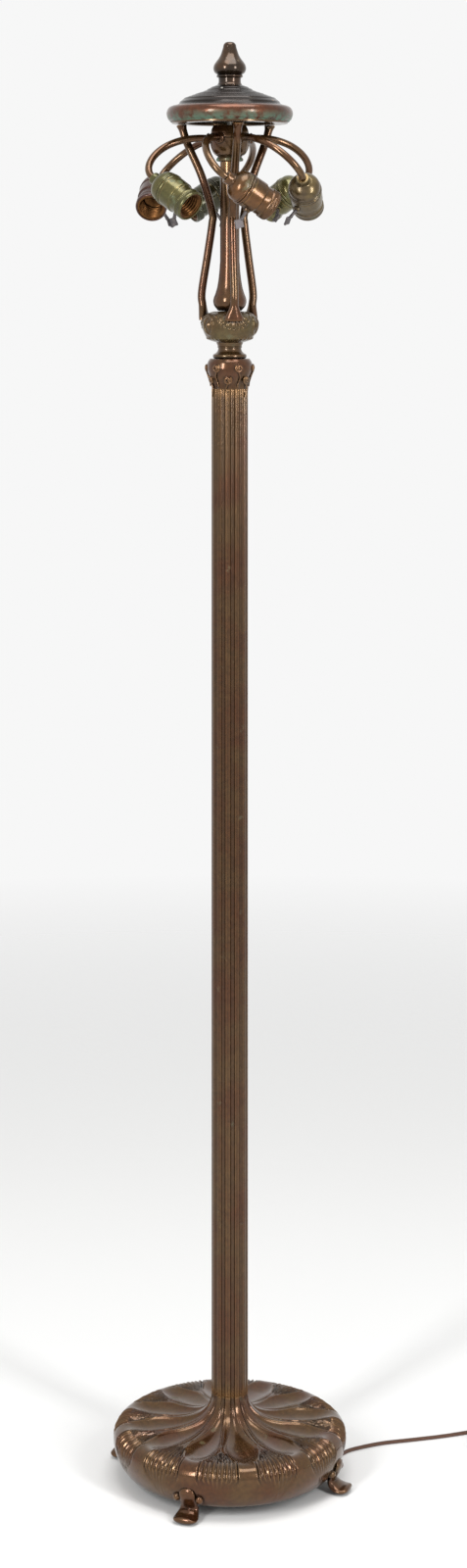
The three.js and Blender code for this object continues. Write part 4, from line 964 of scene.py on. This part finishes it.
def arm_line():
    """The first arm's centre line in its own frame, its end and the socket's direction there."""
    top = level("hub_lower")[1]
    start = Vector((HUB_RADIUS + 0.3, 0, top - 0.7))
    swing = math.radians(ARM_SWING)
    end = Vector((ARM_REACH * math.cos(swing), ARM_REACH * math.sin(swing), start.z - ARM_DROP))
    heading, dip = math.radians(ARM_SWING + SOCKET_TURN), math.radians(SOCKET_DIP)
    aim = Vector((math.cos(dip) * math.cos(heading), math.cos(dip) * math.sin(heading),
                  -math.sin(dip)))
    end += aim * NECK_LENGTH
    bend = end - aim * 11
    line = bezier(start, Vector((start.x + 60, 0, start.z + 5)), bend - aim * 26, bend, 40)
    line += [bend + aim * 5.5, end]
    return line, end, aim


def socket_place(i):
    """Matrix from a socket's own frame, Z out of its mouth and X along its key, to the row's."""
    _, end, aim = arm_line()
    sideways = Vector((-aim.y, aim.x, 0)).normalized()
    below = sideways.cross(aim).normalized()
    if below.z > 0:
        below.negate()
    roll = math.radians(SOCKET_ROLLS[i])
    key = sideways * math.cos(roll) + below * math.sin(roll)
    third = aim.cross(key)
    spot = (end - aim * NECK_LENGTH) * MM
    basis = Matrix([list(row) for row in zip(key, third, aim)]).to_4x4()
    turn = Matrix.Rotation(math.radians(ARM_START + 60 * i), 4, "Z")
    return turn @ Matrix.Translation(spot) @ basis


class LAMP_OT_arms(bpy.types.Operator):
    """Six swirled arms, each with a ferrule at the hub"""

    bl_idname = "lamp.arms"
    bl_label = "Arms"

    def execute(self, context):
        line, _, _ = arm_line()
        for i in range(ARM_COUNT):
            turn = Matrix.Rotation(math.radians(ARM_START + 60 * i), 4, "Z")
            arm = sweep(f"swirl_{i + 1}", line, lambda t: (ARM_RADIUS, ARM_RADIUS), 24, turn)
            dress(arm, "stand", "brown_bronze", finish("rod"), f"arm_{i + 1}")
            place = turn @ Matrix.Translation(line[0] * MM) @ Matrix.Rotation(math.pi / 2, 4, "Y")
            ferrule = revolve(f"ferrule_{i + 1}", flowing(
                [(4.5, 0.2, 1), (6.6, 0.2, 1), (6.9, 1.2), (6.4, 2.4), (5.6, 3.4), (4.5, 4.0, 1)], 4),
                40, closed=True, place=place)
            dress(ferrule, "stand", "brown_bronze", finish("rod"))
        return {"FINISHED"}


class LAMP_OT_sockets(bpy.types.Operator):
    """Six lamp sockets: cap, shell with its knurled ring, threaded liner and set screw"""

    bl_idname = "lamp.sockets"
    bl_label = "Sockets"

    def execute(self, context):
        for i in range(ARM_COUNT):
            place, look = socket_place(i), socket_finish(i)
            self.cap(i, place, look)
            self.shell(i, place, look)
            self.liner(i, place)
        return {"FINISHED"}

    def cap(self, i, place, look):
        outline = flowing([(4.8, 0, 1), (7.2, 0, 1), (7.8, 0.8), (7.8, 6.8), (8.6, 8.6), (12.0, 10.4),
                           (16.0, 13.4), (18.7, 17.4), (19.6, 21.6), (19.7, 24.4, 1), (20.3, 25.0),
                           (20.4, 26.4), (19.9, 27, 1), (18.5, 27, 1), (18.3, 21), (16.6, 16.6),
                           (12.4, 13.0), (4.8, 12.2, 1)], 5)
        cap = revolve(f"cap_{i + 1}", outline, 72, closed=True, place=place)
        dress(cap, "stand", "socket_brass", look, f"socket_cap_{i + 1}")
        spot = place @ Matrix.Translation(Vector((0, 7.2, 3.6)) * MM)
        spot = spot @ Matrix.Rotation(-math.pi / 2, 4, "X")
        screw = revolve(f"set_screw_{i + 1}", flowing(
            [(0, 0, 1), (2.2, 0, 1), (2.3, 1.0), (1.9, 1.9), (0, 2.4, 1)], 4), 24, place=spot)
        dress(screw, "stand", "steel", finish("steel"))

    def shell(self, i, place, look):
        outline = flowing([(16.9, 27.3, 1), (19.6, 27.3, 1), (20.5, 28.0), (20.7, 29.2), (20.3, 30.4),
                           (19.7, 31.0, 1), (19.7, 33.0, 1), (20.0, 33.4), (19.9, 46.5), (19.5, 48.2),
                           (18.4, 49.6), (18.2, 51.0), (18.2, 56.6), (18.6, 58.2), (19.3, 59.2, 1),
                           (19.3, 59.8, 1), (19.1, 60.6, 1), (19.1, 65.4, 1), (19.4, 66.0, 1),
                           (19.3, 67.2), (18.6, 68.6), (17.9, 69.0), (16.9, 68.6, 1)], 4)

        def knurl(angle, radius, height):
            if radius > 18 and 60.5 < height < 65.5:
                radius += 0.28 * math.cos(angle * 60)
            return radius, height

        shell = revolve(f"shell_{i + 1}", outline, 240, closed=True, warp=knurl, place=place)
        dress(shell, "stand", "socket_brass", look, f"socket_shell_{i + 1}")
        spot = place @ Matrix.Translation(Vector((0, 0, KEY_PLACE)) * MM)
        spot = spot @ Matrix.Rotation(math.pi / 2, 4, "Y")
        boss = revolve(f"key_boss_{i + 1}", flowing(
            [(2.3, 18.6, 1), (4.9, 18.6, 1), (4.6, 20.6), (4.1, 22.2), (3.4, 22.6, 1), (2.3, 22.6, 1)],
            4), 32, closed=True, place=spot)
        dress(boss, "stand", "socket_brass", look)

    def liner(self, i, place):
        mouth, floor = SOCKET_LENGTH - 1.5, SOCKET_LENGTH - 27.5
        pitch = sizes().thread_pitch / MM
        outline = [(0, 24), (16.6, 24), (16.6, mouth), (15.4, mouth), (14.9, mouth - 0.2)]
        outline += [(14.3, mouth - 0.6 - 0.4 * k) for k in range(54)]
        outline += [(13.6, floor + 0.8), (12.6, floor), (3.2, floor), (3.0, floor + 1.2),
                    (0, floor + 1.4)]

        def thread(angle, radius, height):
            if radius == 14.3:
                fade = smooth((mouth - 0.6 - height) / 1.5)
                wave = math.sin(math.tau * (height / pitch - angle / math.tau))
                return 14.0 + 1.1 * fade * wave, height
            return radius, height

        liner = revolve(f"screw_shell_{i + 1}", outline, 72, warp=thread, place=place, corner=50)
        dress(liner, "stand", "thread_brass", finish("thread"), f"socket_liner_{i + 1}")


class LAMP_OT_keys(bpy.types.Operator):
    """Turn keys with flat diamond blades"""

    bl_idname = "lamp.keys"
    bl_label = "Keys"

    def execute(self, context):
        for i in range(ARM_COUNT):
            place = socket_place(i) @ Matrix.Translation(Vector((0, 0, KEY_PLACE)) * MM)
            spot = place @ Matrix.Rotation(math.pi / 2, 4, "Y")
            shaft = revolve(f"key_shaft_{i + 1}", flowing(
                [(0, 17.2, 1), (2.0, 17.2, 1), (2.0, 31.0), (2.3, 32.0), (1.9, 34.6), (0, 35.4, 1)], 4),
                24, place=spot)
            dress(shaft, f"key_{i + 1}", "key_grey", finish("key"))
            diamond = []
            for corner, following in (((31, 0), (39.5, -8)), ((39.5, -8), (48, 0)),
                                      ((48, 0), (39.5, 8)), ((39.5, 8), (31, 0))):
                for k in range(6):
                    t = 0.1 + 0.8 * k / 5
                    x, y = mix(corner[0], following[0], t), mix(corner[1], following[1], t)
                    pull = 0.10 * math.sin(math.pi * t)
                    diamond.append((mix(x, 39.5, pull), mix(y, 0, pull)))
            half, count = 1.2, len(diamond)
            layers = ((-half, 0.93), (-half + 0.4, 1.0), (half - 0.4, 1.0), (half, 0.93))
            vertices = [(mix(39.5, x, grow), z, y * grow) for z, grow in layers for x, y in diamond]
            faces = [tuple(range(count)), tuple(range(3 * count, 4 * count))]
            faces += [(low + k, low + (k + 1) % count, low + count + (k + 1) % count, low + count + k)
                      for low in range(0, 3 * count, count) for k in range(count)]
            blade = piece(f"key_blade_{i + 1}", vertices, faces, place, 30)
            dress(blade, f"key_{i + 1}", "key_grey", finish("key"), f"key_{i + 1}")
        return {"FINISHED"}


class LAMP_OT_cap(bpy.types.Operator):
    """Heat cap with its ridged dome and round rim, and the finial"""

    bl_idname = "lamp.cap"
    bl_label = "Heat cap and finial"

    def execute(self, context):
        foot, top = level("heat_cap")
        seat = foot + 1.2
        fall = [(16.5, 0), (24.6, 3.8), (28.9, 6.4), (33.4, 8.4), (41.2, 10.8), (47.8, 13.4),
                (54.5, 15.6), (58.6, 18.2), (61.6, 20.6)]
        dome = flowing([(r, top - z) for r, z in fall], 14)
        ridges = sizes().dome_ridges

        def ridge(radius, height):
            share = (radius - 20) / (58 - 20)
            if not 0 < share < 1:
                return radius, height
            wave = abs(math.sin(math.pi * ridges * share))
            return radius, height + 1.3 * wave ** 0.6 - 0.75

        crown = [(3.5, top), (16.5, top)] + [ridge(r, z) for r, z in dome[1:]]
        step = flowing([(61.6, top - 20.6, 1), (62.4, top - 22.4), (63.0, seat + 20.6, 1),
                        (66.0, seat + 19.6), (69.0, seat + 18.6, 1)], 5)
        lower = [(69.0, seat + 14.0), (60.8, seat + 13.0), (41.0, top - 14.5), (22.0, top - 6.5),
                 (3.5, top - 4.0)]
        shell = revolve("spun_dome", crown + step + lower, 160, closed=True, corner=50)
        dress(shell, "heat_cap", "dark_bronze", finish("dome"), "heat_cap")
        rim = flowing([(69.4, seat + 18.8, 1), (71.6, seat + 18.2), (74.8, seat + 16.4),
                       (76.8, seat + 13.4), (77.8, seat + 9.4), (77.2, seat + 5.4),
                       (75.6, seat + 1.8), (74.6, seat + 0.7, 1), (73.8, seat + 0.2, 1),
                       (73.4, seat - 1.0), (72.6, seat - 1.15, 1), (72.0, seat - 1.0, 1),
                       (72.0, seat + 0.1, 1), (61.8, seat + 0.1, 1), (61.4, seat + 0.6, 1),
                       (62.0, seat + 8.0), (64.0, seat + 12.4), (69.4, seat + 13.6, 1)], 5)
        dress(revolve("round_rim", rim, 192, closed=True), "heat_cap", "dark_bronze", finish("rim"))
        angle = math.radians(-87.7)
        spot = Vector((29.5 * math.cos(angle), 29.5 * math.sin(angle), top - 5.6))
        stud = revolve("dome_stud", flowing([(0, 0, 1), (1.9, 0, 1), (1.7, 1.1), (0.9, 1.8),
                                             (0, 2.0, 1)], 4), 24,
                       place=Matrix.Translation(spot * MM))
        dress(stud, "heat_cap", "steel", finish("steel"))
        self.finial()
        return {"FINISHED"}

    def finial(self):
        foot, top = level("finial")
        line = [(0, 15.3, 1), (3.5, 15.3, 1), (3.5, 0, 1), (15.1, 0, 1), (15.0, 0.8), (14.0, 2.6),
                (13.7, 5.0), (13.9, 8.4, 1), (14.6, 8.8, 1), (15.9, 9.6), (16.3, 10.9), (15.9, 12.0),
                (15.0, 12.6, 1), (16.2, 13.2, 1), (18.6, 15.2), (20.0, 18.4), (20.2, 21.2),
                (19.2, 25.0), (16.6, 29.0), (13.6, 33.0), (11.2, 37.4), (9.6, 42.0), (8.3, 46.2),
                (7.9, 48.4), (7.0, 50.6), (5.0, 52.4), (2.4, 53.0), (0, 53.1)]
        points = flowing([(p[0], foot + p[1]) + p[2:] for p in line], 4)
        knob = revolve("turned_finial", points, 96)
        dress(knob, "finial", "brown_bronze", finish("finial"), "finial")


class LAMP_OT_fixings(bpy.types.Operator):
    """Finishes of the weight, nut, washer, pipe, rod and bushing"""

    bl_idname = "lamp.fixings"
    bl_label = "Weight and fixings"

    def execute(self, context):
        for node, look in (("base_weight", "iron"), ("lock_nut", "steel"), ("lock_washer", "steel"),
                           ("centre_pipe", "steel"), ("finial_rod", "steel"),
                           ("cord_bushing", "phenolic")):
            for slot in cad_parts[node].material_slots:
                slot.material = finish(look)
        return {"FINISHED"}


OPERATORS = (LAMP_OT_stage, LAMP_OT_cord, LAMP_OT_foot, LAMP_OT_column, LAMP_OT_pod, LAMP_OT_hub,
             LAMP_OT_harp, LAMP_OT_arms, LAMP_OT_sockets, LAMP_OT_keys, LAMP_OT_cap,
             LAMP_OT_fixings)


class LAMP_PT_panel(bpy.types.Panel):
    """Lists the lamp's pieces"""

    bl_idname = "LAMP_PT_panel"
    bl_label = "Lamp base"
    bl_space_type = "VIEW_3D"
    bl_region_type = "UI"
    bl_category = "Lamp base"

    def draw(self, context):
        for operator in OPERATORS:
            self.layout.operator(operator.bl_idname)


CLASSES = (LampSizes, LampColours) + OPERATORS + (LAMP_PT_panel,)


def register():
    for cls in CLASSES:
        bpy.utils.register_class(cls)
    bpy.types.Scene.lamp_sizes = PointerProperty(type=LampSizes)
    bpy.types.Scene.lamp_colours = PointerProperty(type=LampColours)


def unregister():
    del bpy.types.Scene.lamp_colours
    del bpy.types.Scene.lamp_sizes
    for cls in reversed(CLASSES):
        bpy.utils.unregister_class(cls)


def main():
    register()
    for operator in OPERATORS:
        group, name = operator.bl_idname.split(".")
        getattr(getattr(bpy.ops, group), name)()


if __name__ == "__main__":
    main()
